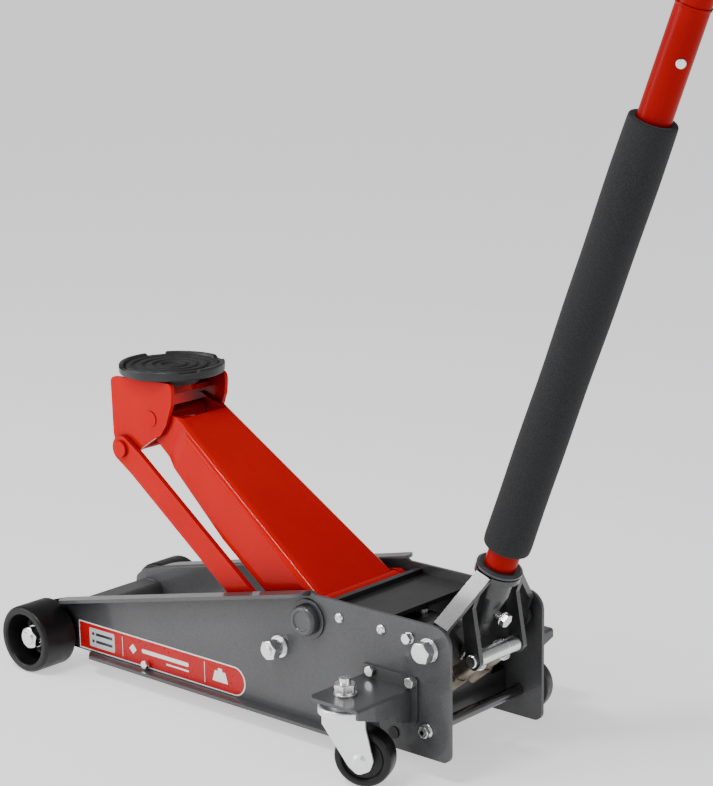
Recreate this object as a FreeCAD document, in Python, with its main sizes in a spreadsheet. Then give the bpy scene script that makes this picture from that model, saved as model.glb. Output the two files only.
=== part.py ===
import FreeCAD, Part
import os, math
import Sketcher
from FreeCAD import Vector, Rotation, Placement

# Hydraulic trolley jack (floor jack), 3 tonne class, stored with its arm part raised.
# Frame: X forward (towards the saddle and the front wheels), Y to the jack's left, Z up.
# The origin is on the floor, under the centre of the whole jack's outer box.
# Sketch coordinates are chassis coordinates; origin_x moves them into the part frame.

os.makedirs("parts", exist_ok=True)
doc = FreeCAD.newDocument("trolley_jack")
sheet = doc.addObject("Spreadsheet::Sheet", "dims")

TABLE = [
    ("origin_x", 182.08), ("plate_y", 79.0), ("plate_thick", 4.0), ("rear_x", -286.0), ("front_x", 342.0),
    ("top_z", 168.0), ("bottom_z", 24.0), ("rear_round", 20.0), ("foot_round", 10.0), ("nose_round", 12.0),
    ("flange_front_x", 296.0), ("flange_rear_x", -96.0), ("flange_front_z", 82.9), ("flange_rear_z", 172.0),
    ("flange_width", 18.0), ("skirt_width", 14.0), ("skirt_front_x", 255.0), ("skirt_rear_x", -152.0), ("skirt_z", 21.0),
    ("axle_x", 314.4), ("axle_z", 40.0), ("axle_radius", 10.0), ("wheel_radius", 39.9), ("wheel_width", 47.4),
    ("wheel_inner_y", 84.2), ("arm_x", -94.0), ("arm_z", 140.0), ("arm_shaft_radius", 12.0), ("arm_tube_radius", 19.0),
    ("arm_length", 318.905), ("arm_angle", 32.3196), ("link_dx", 43.5), ("link_dz", -40.5), ("link_bolt_radius", 6.0),
    ("link_half", 15.0), ("link_thick", 6.0), ("ear_y", 45.0), ("ear_thick", 5.0), ("bracket_pin_radius", 9.0),
    ("saddle_x", 184.7), ("saddle_top_z", 368.0), ("saddle_radius", 60.7), ("saddle_rim", 11.0),
    ("yoke_x", -259.0), ("yoke_z", 142.0), ("lean", 21.0), ("yoke_bolt_radius", 6.0), ("tie_x", -256.0), ("tie_z", 54.0),
    ("tie_radius", 6.0), ("king_x", -193.5), ("king_y", 134.0), ("bracket_z", 95.0), ("bracket_thick", 4.0),
    ("bracket_front_x", -168.0), ("bracket_rear_x", -236.0), ("bracket_edge_y", 163.0), ("caster_radius", 31.3),
    ("caster_width", 24.0), ("caster_trail", 21.0), ("caster_turn", 21.4), ("caster_turn_right", 16.0), ("ram_z", 104.0), ("ram_rod_radius", 14.0),
    ("piston_radius", 22.5), ("reservoir_radius", 42.0), ("block_rear_x", -238.0), ("block_front_x", -214.0),
    ("gland_rear_x", -155.0), ("gland_front_x", -145.0), ("thrust_reach", 38.0), ("thrust_pin_radius", 7.0),
    ("tube_radius", 17.0), ("tube_wall", 2.0), ("foam_radius", 25.3), ("foam_start", 104.0), ("foam_end", 577.5),
    ("tube_start", 50.5), ("tube_joint", 690.0), ("tube_end", 1228.0), ("button_at", 638.5), ("button_radius", 5.0),
    ("socket_radius", 19.0), ("rim_radius", 24.6), ("roller_radius", 8.5), ("roller_pin_radius", 5.0),
    ("roller_b", -28.86), ("roller_a", -8.2), ("plunger_y", 20.0), ("plunger_radius", 6.0), ("barrel_radius", 11.0),
    ("plunger_angle", 40.0), ("ball_radius", 8.0), ("running", 0.05), ("deck_top_z", 157.5), ("deck_thick", 3.0),
]
for row, (name, number) in enumerate(TABLE, 1):
    sheet.set("A%d" % row, name)
    sheet.set("B%d" % row, str(number))
    sheet.setAlias("B%d" % row, name)
doc.recompute()


class Dim:
    """A number with the spreadsheet expression that gives it."""

    def __init__(self, v, e):
        self.v, self.e = float(v), e

    @staticmethod
    def of(o):
        return o if isinstance(o, Dim) else Dim(o, "%.6f" % float(o))

    def __add__(self, o):
        o = Dim.of(o)
        return Dim(self.v + o.v, "(%s + %s)" % (self.e, o.e))

    def __radd__(self, o):
        return Dim.of(o) + self

    def __sub__(self, o):
        o = Dim.of(o)
        return Dim(self.v - o.v, "(%s - %s)" % (self.e, o.e))

    def __rsub__(self, o):
        return Dim.of(o) - self

    def __mul__(self, o):
        o = Dim.of(o)
        return Dim(self.v * o.v, "(%s * %s)" % (self.e, o.e))

    def __rmul__(self, o):
        return Dim.of(o) * self

    def __truediv__(self, o):
        o = Dim.of(o)
        return Dim(self.v / o.v, "(%s / %s)" % (self.e, o.e))

    def __neg__(self):
        return Dim(-self.v, "(0 - %s)" % self.e)


class Sheet:
    def __getattr__(self, name):
        return Dim(float(getattr(sheet, name)), "dims." + name)


D = Sheet()
NODES = []


def num(x):
    return x.v if isinstance(x, Dim) else float(x)


def bind(obj, prop, x):
    if isinstance(x, Dim):
        obj.setExpression(prop, x.e)
    else:
        setattr(obj, prop, float(x))


def put(obj, x=0.0, y=0.0, z=0.0, rot=None):
    """Place obj at chassis position x, y, z, shifted into the part frame."""
    obj.Placement = Placement(Vector(num(x) + D.origin_x.v, num(y), num(z)), rot or Rotation())
    obj.setExpression("Placement.Base.x", (Dim.of(x) + D.origin_x).e)
    for axis, value in (("y", y), ("z", z)):
        if isinstance(value, Dim):
            obj.setExpression("Placement.Base." + axis, value.e)
    return obj


def aim(direction):
    return Rotation(Vector(0, 0, 1), Vector(*direction))


def node(obj, label):
    obj.Label = label
    NODES.append((label, obj))
    return obj


# ---------------------------------------------------------------- PartDesign helpers

def body(name):
    return doc.addObject("PartDesign::Body", name)


def plane(b, role):
    return [o for o in b.Origin.OriginFeatures if o.Role == role][0]


def sketch(b, role, offset=0.0):
    s = b.newObject("Sketcher::SketchObject", "profile")
    s.AttachmentSupport = [(plane(b, role), "")]
    s.MapMode = "FlatFace"
    s.AttachmentOffset = Placement(Vector(0, 0, num(offset)), Rotation())
    if isinstance(offset, Dim):
        s.setExpression("AttachmentOffset.Base.z", offset.e)
    return s


def locate(s, geo, pos, x, y):
    for kind, axis, value in (("DistanceX", -2, x), ("DistanceY", -1, y)):
        if not isinstance(value, Dim) and abs(value) < 1e-9:
            s.addConstraint(Sketcher.Constraint("PointOnObject", geo, pos, axis))
        else:
            i = s.addConstraint(Sketcher.Constraint(kind, -1, 1, geo, pos, num(value)))
            if isinstance(value, Dim):
                s.setExpression("Constraints[%d]" % i, value.e)


def ring_of(s, pts):
    first = s.GeometryCount
    n = len(pts)
    for i in range(n):
        a, c = pts[i], pts[(i + 1) % n]
        s.addGeometry(Part.LineSegment(Vector(num(a[0]), num(a[1]), 0), Vector(num(c[0]), num(c[1]), 0)), False)
    for i in range(n):
        s.addConstraint(Sketcher.Constraint("Coincident", first + i, 2, first + (i + 1) % n, 1))
    for i, p in enumerate(pts):
        locate(s, first + i, 1, p[0], p[1])


def circle_of(s, x, y, r):
    g = s.addGeometry(Part.Circle(Vector(num(x), num(y), 0), Vector(0, 0, 1), num(r)), False)
    locate(s, g, 3, x, y)
    i = s.addConstraint(Sketcher.Constraint("Radius", g, num(r)))
    if isinstance(r, Dim):
        s.setExpression("Constraints[%d]" % i, r.e)


def extrude(b, kind, role, length, polys=(), circles=(), offset=0.0, reverse=False, symmetric=False):
    s = sketch(b, role, offset)
    for pts in polys:
        ring_of(s, pts)
    for x, y, r in circles:
        circle_of(s, x, y, r)
    f = b.newObject("PartDesign::" + kind, kind.lower())
    f.Profile = s
    bind(f, "Length", length)
    if symmetric:
        f.SideType = "Symmetric"
    f.Reversed = reverse
    return f


def pad(b, role, length, **k):
    return extrude(b, "Pad", role, length, **k)


def pocket(b, role, length, **k):
    """A cut that must take material away; a wrong side is turned round."""
    doc.recompute()
    before = b.Shape.Volume
    f = extrude(b, "Pocket", role, length, **k)
    doc.recompute()
    if f.Shape.isNull() or abs(b.Shape.Volume - before) < 1e-6:
        f.Reversed = not f.Reversed
        doc.recompute()
    if abs(b.Shape.Volume - before) < 1e-6:
        raise RuntimeError("cut removed nothing in " + b.Name)
    return f


def revolve(b, polys, kind="Revolution"):
    """Profile in the local X-Z plane, x the radius and y the height, turned about local Z."""
    s = sketch(b, "XZ_Plane")
    for pts in polys:
        ring_of(s, pts)
    f = b.newObject("PartDesign::" + kind, kind.lower())
    f.Profile = s
    f.ReferenceAxis = (s, ["V_Axis"])
    f.Angle = 360.0
    return f


def round_edges(b, radius, test, kind="Fillet"):
    """Fillet or chamfer the edges of the body's tip that test(edge) picks."""
    doc.recompute()
    tip = b.Tip
    names = ["Edge%d" % (i + 1) for i, e in enumerate(tip.Shape.Edges) if test(e)]
    if not names:
        raise RuntimeError("no edge to round in " + b.Name)
    f = b.newObject("PartDesign::" + kind, kind.lower())
    f.Base = (tip, names)
    bind(f, "Radius" if kind == "Fillet" else "Size", radius)
    doc.recompute()
    if "Invalid" in f.State or f.Shape.isNull() or not f.Shape.isValid():
        raise RuntimeError("rounding failed in " + b.Name)
    return f


def along_y_at(points, tol=0.3):
    """Edges parallel to Y that pass through one of the (x, z) points."""
    def test(e):
        a, c = e.Vertexes[0].Point, e.Vertexes[-1].Point
        if abs(a.x - c.x) > 1e-4 or abs(a.z - c.z) > 1e-4 or e.Length < 0.5:
            return False
        return any(abs(a.x - num(x)) < tol and abs(a.z - num(z)) < tol for x, z in points)
    return test


def spun(label, polys, x, y, z, rot=None):
    """A turned piece: closed profiles of (radius, height) about local Z."""
    b = body(label + "_body")
    revolve(b, polys)
    put(b, x, y, z, rot)
    return node(b, label)


# ---------------------------------------------------------------- Part helpers

def cyl(r, h, x, y, z, direction=(0, 1, 0)):
    c = doc.addObject("Part::Cylinder", "cyl")
    bind(c, "Radius", r)
    bind(c, "Height", h)
    return put(c, x, y, z, aim(direction))


def hexagon(across_flats, h, x, y, z, direction=(0, 1, 0), turn=0.0):
    p = doc.addObject("Part::Prism", "hex")
    p.Polygon = 6
    p.Circumradius = across_flats / math.sqrt(3.0)
    p.Height = h
    return put(p, x, y, z, aim(direction).multiply(Rotation(Vector(0, 0, 1), turn)))


def box(lx, ly, lz, x, y, z, rot=None):
    o = doc.addObject("Part::Box", "box")
    bind(o, "Length", lx)
    bind(o, "Width", ly)
    bind(o, "Height", lz)
    return put(o, x, y, z, rot)


def cut(base, tool):
    o = doc.addObject("Part::Cut", "cut")
    o.Base, o.Tool = base, tool
    return o


def fuse(*shapes):
    o = doc.addObject("Part::MultiFuse", "fuse")
    o.Shapes = list(shapes)
    o.Refine = True
    return o


def common(base, tool):
    o = doc.addObject("Part::Common", "common")
    o.Base, o.Tool = base, tool
    return o


def group(label, solids):
    o = doc.addObject("Part::Compound", label + "_set")
    o.Links = list(solids)
    return node(o, label)


# ---------------------------------------------------------------- derived positions

PHI = math.radians(D.arm_angle.v)
AX, AZ = D.arm_x.v, D.arm_z.v
BX = AX + D.arm_length.v * math.cos(PHI)      # arm to saddle bracket pivot
BZ = AZ + D.arm_length.v * math.sin(PHI)
CX, CZ = AX + D.link_dx.v, AZ + D.link_dz.v   # parallel link to chassis pivot
DX, DZ = BX + D.link_dx.v, BZ + D.link_dz.v   # parallel link to bracket pivot
LEAN = Rotation(Vector(0, 1, 0), -D.lean.v)   # local Z along the handle
ARM = Rotation(Vector(0, 1, 0), -D.arm_angle.v)  # local X along the arm
inner_y = D.plate_y - D.plate_thick

# ---------------------------------------------------------------- side plates
# Pressed plate with an outward flange along its sloping top edge and a narrower one along its foot.
for side, sgn in (("left", 1), ("right", -1)):
    b = body("side_plate_" + side + "_body")
    outline = [(D.rear_x, D.bottom_z), (D.front_x, D.bottom_z), (D.front_x, 62.0), (330.0, 72.0),
               (D.flange_front_x, D.flange_front_z), (D.flange_rear_x, D.flange_rear_z),
               (D.flange_rear_x - 8.0, D.top_z), (D.rear_x, D.top_z)]
    # the XZ sketch plane looks along -Y, so an offset of -y puts the sketch at y
    pad(b, "XZ_Plane", D.plate_thick, polys=[outline], offset=(-D.plate_y if sgn > 0 else inner_y))
    round_edges(b, D.rear_round, along_y_at([(D.rear_x, D.top_z)]))
    round_edges(b, D.foot_round, along_y_at([(D.rear_x, D.bottom_z), (D.front_x, D.bottom_z)]))
    round_edges(b, D.nose_round, along_y_at([(D.front_x, 62.0)]))
    drop = D.plate_thick * 1.026
    start = -(inner_y + 1.0 + (D.flange_width + 3.0)) if sgn > 0 else inner_y + 1.0
    flange = [(D.flange_front_x, D.flange_front_z - drop), (D.flange_front_x, D.flange_front_z),
              (D.flange_rear_x, D.flange_rear_z), (D.flange_rear_x, D.flange_rear_z - drop)]
    pad(b, "XZ_Plane", D.flange_width + 3.0, polys=[flange], offset=start)
    skirt = [(D.skirt_front_x, D.skirt_z), (D.skirt_front_x, D.skirt_z + D.plate_thick),
             (D.skirt_rear_x, D.skirt_z + D.plate_thick), (D.skirt_rear_x, D.skirt_z)]
    start = -(inner_y + (D.skirt_width + D.plate_thick)) if sgn > 0 else inner_y
    pad(b, "XZ_Plane", D.skirt_width + D.plate_thick, polys=[skirt], offset=start)
    # clipped flange corners
    y_edge = sgn * (D.plate_y.v + D.flange_width.v)
    y_skirt = sgn * (D.plate_y.v + D.skirt_width.v)

    def flange_tip(e, y_edge=y_edge):
        c = e.CenterOfMass
        return abs(c.y - y_edge) < 0.01 and e.Length < 6.0 and c.z > 60.0
    round_edges(b, 11.0, flange_tip)

    def skirt_tip(e, y_skirt=y_skirt):
        c = e.CenterOfMass
        return abs(c.y - y_skirt) < 0.01 and e.Length < 6.0 and c.z < 30.0
    round_edges(b, 10.0, skirt_tip, "Chamfer")

    # bend radius where the top flange leaves the plate
    def bend(e, sgn=sgn):
        c, s0, s1 = e.CenterOfMass, e.Vertexes[0].Point, e.Vertexes[-1].Point
        return abs(c.y - sgn * inner_y.v) < 0.01 and e.Length > 300 and c.z > 100 and abs(s0.z - s1.z) > 50
    round_edges(b, 3.2, bend)

    def inner_bend(e, sgn=sgn):
        c, s0, s1 = e.CenterOfMass, e.Vertexes[0].Point, e.Vertexes[-1].Point
        return abs(c.y - sgn * D.plate_y.v) < 0.01 and e.Length > 300 and c.z > 100 and abs(s0.z - s1.z) > 50
    round_edges(b, 3.0, inner_bend)
    holes = [(D.axle_x, D.axle_z, D.axle_radius + 0.1), (D.arm_x, D.arm_z, D.arm_shaft_radius + 0.1),
             (D.arm_x + D.link_dx, D.arm_z + D.link_dz, D.link_bolt_radius + 0.1),
             (D.yoke_x, D.yoke_z, D.yoke_bolt_radius + 0.1), (D.tie_x, D.tie_z, 3.1),
             (-211.0, 41.0, 5.0), (-137.0, 150.0, 3.1), (-195.0, 150.0, 3.1), (-232.5, 149.0, 4.1),
             (-183.0, 103.0, 3.1), (-237.0, 103.0, 3.1), (159.7, 31.2, 3.1)]
    pocket(b, "XZ_Plane", 300.0, circles=holes, symmetric=True)
    put(b)
    node(b, "side_plate_" + side)

# ---------------------------------------------------------------- front axle, wheels, cross plate
spun("front_axle", [[(0.0, -126.0), (7.9, -126.0), (7.9, -112.0), (D.axle_radius, -112.0), (D.axle_radius, 112.0),
                     (7.9, 112.0), (7.9, 126.0), (0.0, 126.0)]], D.axle_x, 0.0, D.axle_z, aim((0, 1, 0)))
nuts = []
for sgn in (1, -1):
    nuts.append(cut(fuse(hexagon(24.0, 10.0, D.axle_x, sgn * 114.6, D.axle_z, (0, sgn, 0), 8.0),
                         cyl(13.5, 2.2, D.axle_x, sgn * 112.6, D.axle_z, (0, sgn, 0))),
                    cyl(8.0, 40.0, D.axle_x, sgn * 100.0, D.axle_z, (0, sgn, 0))))
group("front_axle_nuts", nuts)
for side, sgn in (("left", 1), ("right", -1)):
    # solid cast wheel, deeply dished on its outer face, with a hub tube that reaches the plate
    w, R = D.wheel_width, D.wheel_radius
    hub = D.axle_radius + D.running
    spun("front_wheel_" + side,
         [[(hub, -4.4), (17.0, -4.4), (17.0, 1.4), (R - 9.0, 1.4), (R - 9.0, 0.0), (R - 2.5, 0.0), (R, 2.5),
           (R, w - 2.5), (R - 2.5, w), (R - 8.3, w), (R - 10.0, w - 3.0), (R - 12.3, w - 30.0), (16.0, w - 33.0),
           (16.0, 28.0), (hub, 28.0)]],
         D.axle_x, sgn * D.wheel_inner_y, D.axle_z, aim((0, sgn, 0)))
b = body("front_cross_plate_body")
pad(b, "XZ_Plane", inner_y * 2.0, polys=[[(296.0, 28.0), (300.0, 28.0), (300.0, 58.0), (326.0, 58.0), (326.0, 62.0), (296.0, 62.0)]],
    symmetric=True)
round_edges(b, 7.0, along_y_at([(296.0, 62.0)]))
round_edges(b, 3.0, along_y_at([(300.0, 58.0)]))
put(b)
node(b, "front_cross_plate")

# ---------------------------------------------------------------- deck between the plates, behind the arm
b = body("deck_plate_body")
deck_y = inner_y - 0.15
top = D.deck_top_z
# U section: top sheet with two side flanges turned down against the plates
s = [(-deck_y, top - 17.0), (-deck_y + D.deck_thick, top - 17.0), (-deck_y + D.deck_thick, top - D.deck_thick),
     (deck_y - D.deck_thick, top - D.deck_thick), (deck_y - D.deck_thick, top - 17.0), (deck_y, top - 17.0),
     (deck_y, top), (-deck_y, top)]
pad(b, "YZ_Plane", 74.0, polys=[s], offset=-190.0)
# raised front bar, just behind the arm's pivot tube
pad(b, "XZ_Plane", deck_y * 2.0 - 2.0, polys=[[(-122.0, top - D.deck_thick), (-112.5, top - D.deck_thick - 4.0),
                                              (-112.5, top + 3.5), (-114.5, top + 5.5), (-122.0, top + 5.5)]], symmetric=True)
# folded rear edge
pad(b, "XZ_Plane", deck_y * 2.0 - 24.0, polys=[[(-190.0, top - D.deck_thick - 2.0), (-187.0, top - D.deck_thick - 2.0),
                                               (-187.0, top), (-190.0, top)]], symmetric=True)
# side ledges carry on to the rear bolts
for y0 in (-deck_y + D.deck_thick, deck_y):
    pad(b, "XZ_Plane", D.deck_thick, polys=[[(-243.0, top - 17.0), (-189.0, top - 17.0), (-189.0, top), (-240.0, top), (-243.0, top - 3.0)]],
        offset=-y0)
for y0 in (-deck_y + 9.0, deck_y):
    pad(b, "XZ_Plane", 9.0, polys=[[(-238.0, top - D.deck_thick), (-189.0, top - D.deck_thick), (-189.0, top), (-238.0, top)]], offset=-y0)
pocket(b, "XZ_Plane", 300.0, circles=[(-137.0, 150.0, 3.1), (-195.0, 150.0, 3.1), (-232.5, 149.0, 4.1)], symmetric=True)
put(b)
node(b, "deck_plate")

screws = []
for sgn in (1, -1):
    for x in (-137.0, -195.0):
        screws.append(fuse(cyl(5.6, 3.0, x, sgn * (D.plate_y + 0.0), 150.0, (0, sgn, 0)),
                           cyl(3.0, 12.0, x, sgn * (D.plate_y - 12.0), 150.0, (0, sgn, 0))))
group("deck_screws", screws)

frame_bolts = []
for sgn in (1, -1):
    frame_bolts.append(fuse(hexagon(10.0, 5.5, -232.5, sgn * (D.plate_y + 1.0), 149.0, (0, sgn, 0), 12.0),
                            cyl(6.4, 1.0, -232.5, sgn * D.plate_y, 149.0, (0, sgn, 0)),
                            cyl(4.0, 16.0, -232.5, sgn * (D.plate_y - 16.0), 149.0, (0, sgn, 0))))
    frame_bolts.append(fuse(hexagon(9.0, 6.0, 159.7, sgn * (D.plate_y + 0.9), 31.2, (0, sgn, 0), 8.0),
                            cyl(3.0, 14.0, 159.7, sgn * (D.plate_y - 9.0), 31.2, (0, sgn, 0)),
                            hexagon(9.0, 4.0, 159.7, sgn * (D.plate_y - 4.1), 31.2, (0, -sgn, 0), 8.0)))
group("frame_bolts", frame_bolts)

# ---------------------------------------------------------------- tie rod across the rear
spun("tie_rod", [[(0.0, -88.0), (2.6, -88.0), (3.0, -87.4), (3.0, -74.9), (D.tie_radius, -74.9), (D.tie_radius, 74.9), (3.0, 74.9), (3.0, 87.4), (2.6, 88.0), (0.0, 88.0)]],
     D.tie_x, 0.0, D.tie_z, aim((0, 1, 0)))

# ---------------------------------------------------------------- plugs in the plates' spare holes
plugs = []
for sgn in (1, -1):
    plugs.append(fuse(cyl(4.95, 4.4, -211.0, sgn * (D.plate_y - 3.8), 41.0, (0, sgn, 0)), cyl(6.6, 1.2, -211.0, sgn * (D.plate_y + 0.05), 41.0, (0, sgn, 0))))
group("plate_plugs", plugs)

# ---------------------------------------------------------------- caster brackets
# Folded bracket: top plate, up-turned flange bolted to the side plate, tapering gusset folded down at the rear.
for side, sgn in (("left", 1), ("right", -1)):
    b = body("caster_bracket_" + side + "_body")
    y0, y1 = sgn * D.plate_y, sgn * D.bracket_edge_y
    top_plate = [(D.bracket_front_x, y0), (D.bracket_front_x, y1 - sgn * 6.0), (D.bracket_front_x - 6.0, y1), (D.bracket_rear_x, y1), (D.bracket_rear_x, y0)]
    if sgn < 0:
        top_plate.reverse()
    pad(b, "XY_Plane", D.bracket_thick, polys=[top_plate], offset=D.bracket_z - D.bracket_thick)
    up = [(D.bracket_front_x - 4.0, D.bracket_z - 4.0), (D.bracket_front_x - 4.0, D.bracket_z + 14.0), (D.bracket_rear_x - 6.0, D.bracket_z + 14.0),
          (D.bracket_rear_x - 9.0, D.bracket_z + 11.0), (D.bracket_rear_x - 9.0, D.bracket_z - 30.0), (D.bracket_rear_x - 6.0, D.bracket_z - 36.0), (D.bracket_rear_x + 2.0, D.bracket_z - 36.0), (D.bracket_rear_x + 2.0, D.bracket_z - 4.0)]
    pad(b, "XZ_Plane", 3.0, polys=[up], offset=(-(D.plate_y + 3.0) if sgn > 0 else D.plate_y))
    gusset = [(y0, D.bracket_z), (y1, D.bracket_z), (y1, D.bracket_z - 10.0), (sgn * (D.plate_y + 5.0), D.bracket_z - 36.0), (y0, D.bracket_z - 36.0)]
    if sgn < 0:
        gusset.reverse()
    pad(b, "YZ_Plane", 3.0, polys=[gusset], offset=D.bracket_rear_x)

    def rear_fold(e, sgn=sgn):
        a, c = e.Vertexes[0].Point, e.Vertexes[-1].Point
        return abs(a.x - D.bracket_rear_x.v) < 0.01 and abs(c.x - a.x) < 0.01 and abs(a.z - D.bracket_z.v) < 0.01 and abs(c.z - a.z) < 0.01 and e.Length > 60
    round_edges(b, 3.5, rear_fold)
    pocket(b, "XZ_Plane", 300.0, circles=[(-183.0, 103.0, 3.1), (-237.0, 103.0, 3.1)], symmetric=True)
    pocket(b, "XY_Plane", 40.0, circles=[(D.king_x, sgn * D.king_y, 6.1)], offset=120.0)
    put(b)
    node(b, "caster_bracket_" + side)
bb = []
for sgn in (1, -1):
    for x in (-183.0, -237.0):
        bb.append(fuse(hexagon(10.0, 4.5, x, sgn * (D.plate_y + 3.0), 103.0, (0, sgn, 0), 20.0),
                       cyl(3.0, 12.0, x, sgn * (D.plate_y - 9.0), 103.0, (0, sgn, 0)),
                       hexagon(10.0, 4.5, x, sgn * (D.plate_y - 4.0), 103.0, (0, -sgn, 0))))
group("caster_bracket_bolts", bb)

# kingpins: head under the fork plate, shank up through race, bracket, washer and nut
pins = []
for sgn in (1, -1):
    pins.append(fuse(cyl(6.0, 46.0, D.king_x, sgn * D.king_y, 67.0, (0, 0, 1)),
                     hexagon(18.0, 5.6, D.king_x, sgn * D.king_y, 66.8, (0, 0, 1))))
group("caster_kingpins", pins)
races = []
for sgn in (1, -1):
    races.append(cut(fuse(cyl(21.0, 3.0, D.king_x, sgn * D.king_y, 88.0, (0, 0, 1)),
                          cyl(17.0, 2.4, D.king_x, sgn * D.king_y, 85.8, (0, 0, 1))),
                     cyl(6.1, 12.0, D.king_x, sgn * D.king_y, 82.0, (0, 0, 1))))
group("caster_races", races)

# casters: pressed fork, riveted axle, solid wheel; the fork trails towards the rear
for side, sgn in (("left", 1), ("right", -1)):
    turn = Rotation(Vector(0, 0, 1), 180.0 + (D.caster_turn.v if sgn > 0 else D.caster_turn_right.v))
    b = body("caster_fork_" + side + "_body")
    # local frame: +X is the trailing direction, kingpin on local Z
    pad(b, "XY_Plane", 8.0, circles=[(0.0, 0.0, 28.5)], offset=77.4)
    round_edges(b, 3.0, lambda e: e.CenterOfMass.z > 85.0 and e.Length > 100)
    pad(b, "XY_Plane", 3.0, circles=[(0.0, 0.0, 22.0)], offset=75.0)
    pad(b, "XY_Plane", 3.0, polys=[[(-19.0, -19.0), (23.0, -19.0), (23.0, 19.0), (-19.0, 19.0)]], offset=73.0)
    leg = [(-19.0, 76.0), (-19.0, 68.0), (9.0, 25.0), (D.caster_trail - 2.0, D.caster_radius - 15.0), (D.caster_trail + 11.0, 22.0), (D.caster_trail + 15.0, 33.0), (28.0, 68.0), (28.0, 76.0)]
    for o in (-19.0, 16.0):
        pad(b, "XZ_Plane", 3.0, polys=[leg], offset=o)
    round_edges(b, 7.0, along_y_at([(D.caster_trail - 2.0, D.caster_radius - 15.0)]))
    round_edges(b, 6.0, along_y_at([(9.0, 25.0), (D.caster_trail + 11.0, 22.0), (D.caster_trail + 15.0, 33.0)]))
    pocket(b, "XZ_Plane", 80.0, circles=[(D.caster_trail, D.caster_radius, 5.05)], symmetric=True)
    pocket(b, "XY_Plane", 30.0, circles=[(0.0, 0.0, 6.05)], offset=90.0)
    put(b, D.king_x, sgn * D.king_y, 0.0, turn)
    node(b, "caster_fork_" + side)
    trail = turn.multVec(Vector(D.caster_trail.v, 0, 0))
    axis = turn.multVec(Vector(0, 1, 0))
    if axis.y * sgn < 0:
        axis = axis * -1.0
    ax_dir = (axis.x, axis.y, axis.z)
    cx, cy = D.king_x.v + trail.x, sgn * D.king_y.v + trail.y
    spun("caster_axle_" + side, [[(0.0, -21.6), (4.5, -21.6), (8.0, -19.1), (5.0, -19.05), (5.0, 19.05), (8.0, 19.1), (4.5, 21.6), (0.0, 21.6)]],
         cx, cy, D.caster_radius, aim(ax_dir))
    h = D.caster_width.v / 2.0
    R = D.caster_radius
    spun("caster_wheel_" + side,
         [[(5.05, -15.5), (10.0, -15.5), (10.0, -h + 3.0), (R - 9.0, -h + 4.5), (R - 7.5, -h), (R - 3.0, -h), (R - 0.6, -h + 2.8), (R, -h + 6.0),
           (R, h - 6.0), (R - 0.6, h - 2.8), (R - 3.0, h), (R - 7.5, h), (R - 9.0, h - 4.5), (10.0, h - 3.0), (10.0, 15.5), (5.05, 15.5)]],
         cx, cy, D.caster_radius, aim(ax_dir))

# ---------------------------------------------------------------- arm pivot
spun("arm_pivot_shaft", [[(0.0, -86.0), (D.arm_shaft_radius, -86.0), (D.arm_shaft_radius, 86.0), (0.0, 86.0)]],
     D.arm_x, 0.0, D.arm_z, aim((0, 1, 0)))
caps = []
for sgn in (1, -1):
    caps.append(cut(fuse(cyl(17.0, 9.0, D.arm_x, sgn * 81.2, D.arm_z, (0, sgn, 0)), cyl(14.5, 2.2, D.arm_x, sgn * 90.2, D.arm_z, (0, sgn, 0))),
                    cyl(12.1, 12.0, D.arm_x, sgn * 74.2, D.arm_z, (0, sgn, 0))))
group("arm_pivot_caps", caps)

# ---------------------------------------------------------------- hydraulic unit
unit = fuse(box(D.block_front_x - D.block_rear_x, 100.0, 110.0, D.block_rear_x, -50.0, 38.0),
            box(D.block_front_x - D.block_rear_x, inner_y * 2.0 - 0.3, 36.0, D.block_rear_x, -(inner_y - 0.15), 38.0))
pa = math.radians(D.plunger_angle.v)
PD = (math.cos(pa), 0.0, -math.sin(pa))          # plunger push direction, forward and down
QX = D.yoke_x.v - 28.3 * math.sin(pa)
QZ = D.yoke_z.v - 28.3 * math.cos(pa)


def on_plunger(t):
    return QX + t * PD[0], QZ + t * PD[2]


VD = Vector(34.0, 0.0, -50.0).normalize()        # release spindle direction, forward and down
for y in (1, -1):
    px, pz = on_plunger(30.0)
    unit = cut(unit, cyl(D.barrel_radius + 0.1, 33.2, px, y * D.plunger_y, pz, PD))
unit = cut(unit, cyl(4.1, 52.0, D.yoke_x, 0.0, D.yoke_z, (VD.x, VD.y, VD.z)))
unit = cut(unit, cyl(9.0, 40.0, -240.0, 0.0, 150.0, (1, 0, 0)))
node(unit, "pump_block")
barrels = []
for y in (1, -1):
    px, pz = on_plunger(33.0)
    qx, qz = on_plunger(31.0)
    cx, cz = on_plunger(32.0)
    barrel = cyl(D.barrel_radius, 30.0, px, y * D.plunger_y, pz, PD)
    barrel = cut(barrel, cyl(D.plunger_radius + D.running, 40.0, qx, y * D.plunger_y, qz, PD))
    barrels.append(cut(barrel, cyl(9.4, 24.0, cx, y * D.plunger_y, cz, PD)))
group("pump_barrels", barrels)
b_len = D.gland_rear_x - D.block_front_x
spun("ram_cylinder", [[(D.piston_radius + D.running, 0.0), (28.5, 0.0), (28.5, b_len), (D.piston_radius + D.running, b_len)]],
     D.block_front_x, 0.0, D.ram_z, aim((1, 0, 0)))
spun("reservoir_tube", [[(D.reservoir_radius - 3.0, 0.0), (D.reservoir_radius, 0.0), (D.reservoir_radius, b_len), (D.reservoir_radius - 3.0, b_len)]],
     D.block_front_x, 0.0, D.ram_z, aim((1, 0, 0)))
g_len = D.gland_front_x - D.gland_rear_x
spun("cylinder_gland", [[(D.ram_rod_radius + D.running, 0.0), (D.reservoir_radius, 0.0), (D.reservoir_radius, g_len - 3.0), (D.reservoir_radius - 3.0, g_len),
                         (D.ram_rod_radius + D.running, g_len)]],
     D.gland_rear_x, 0.0, D.ram_z, aim((1, 0, 0)))
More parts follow.
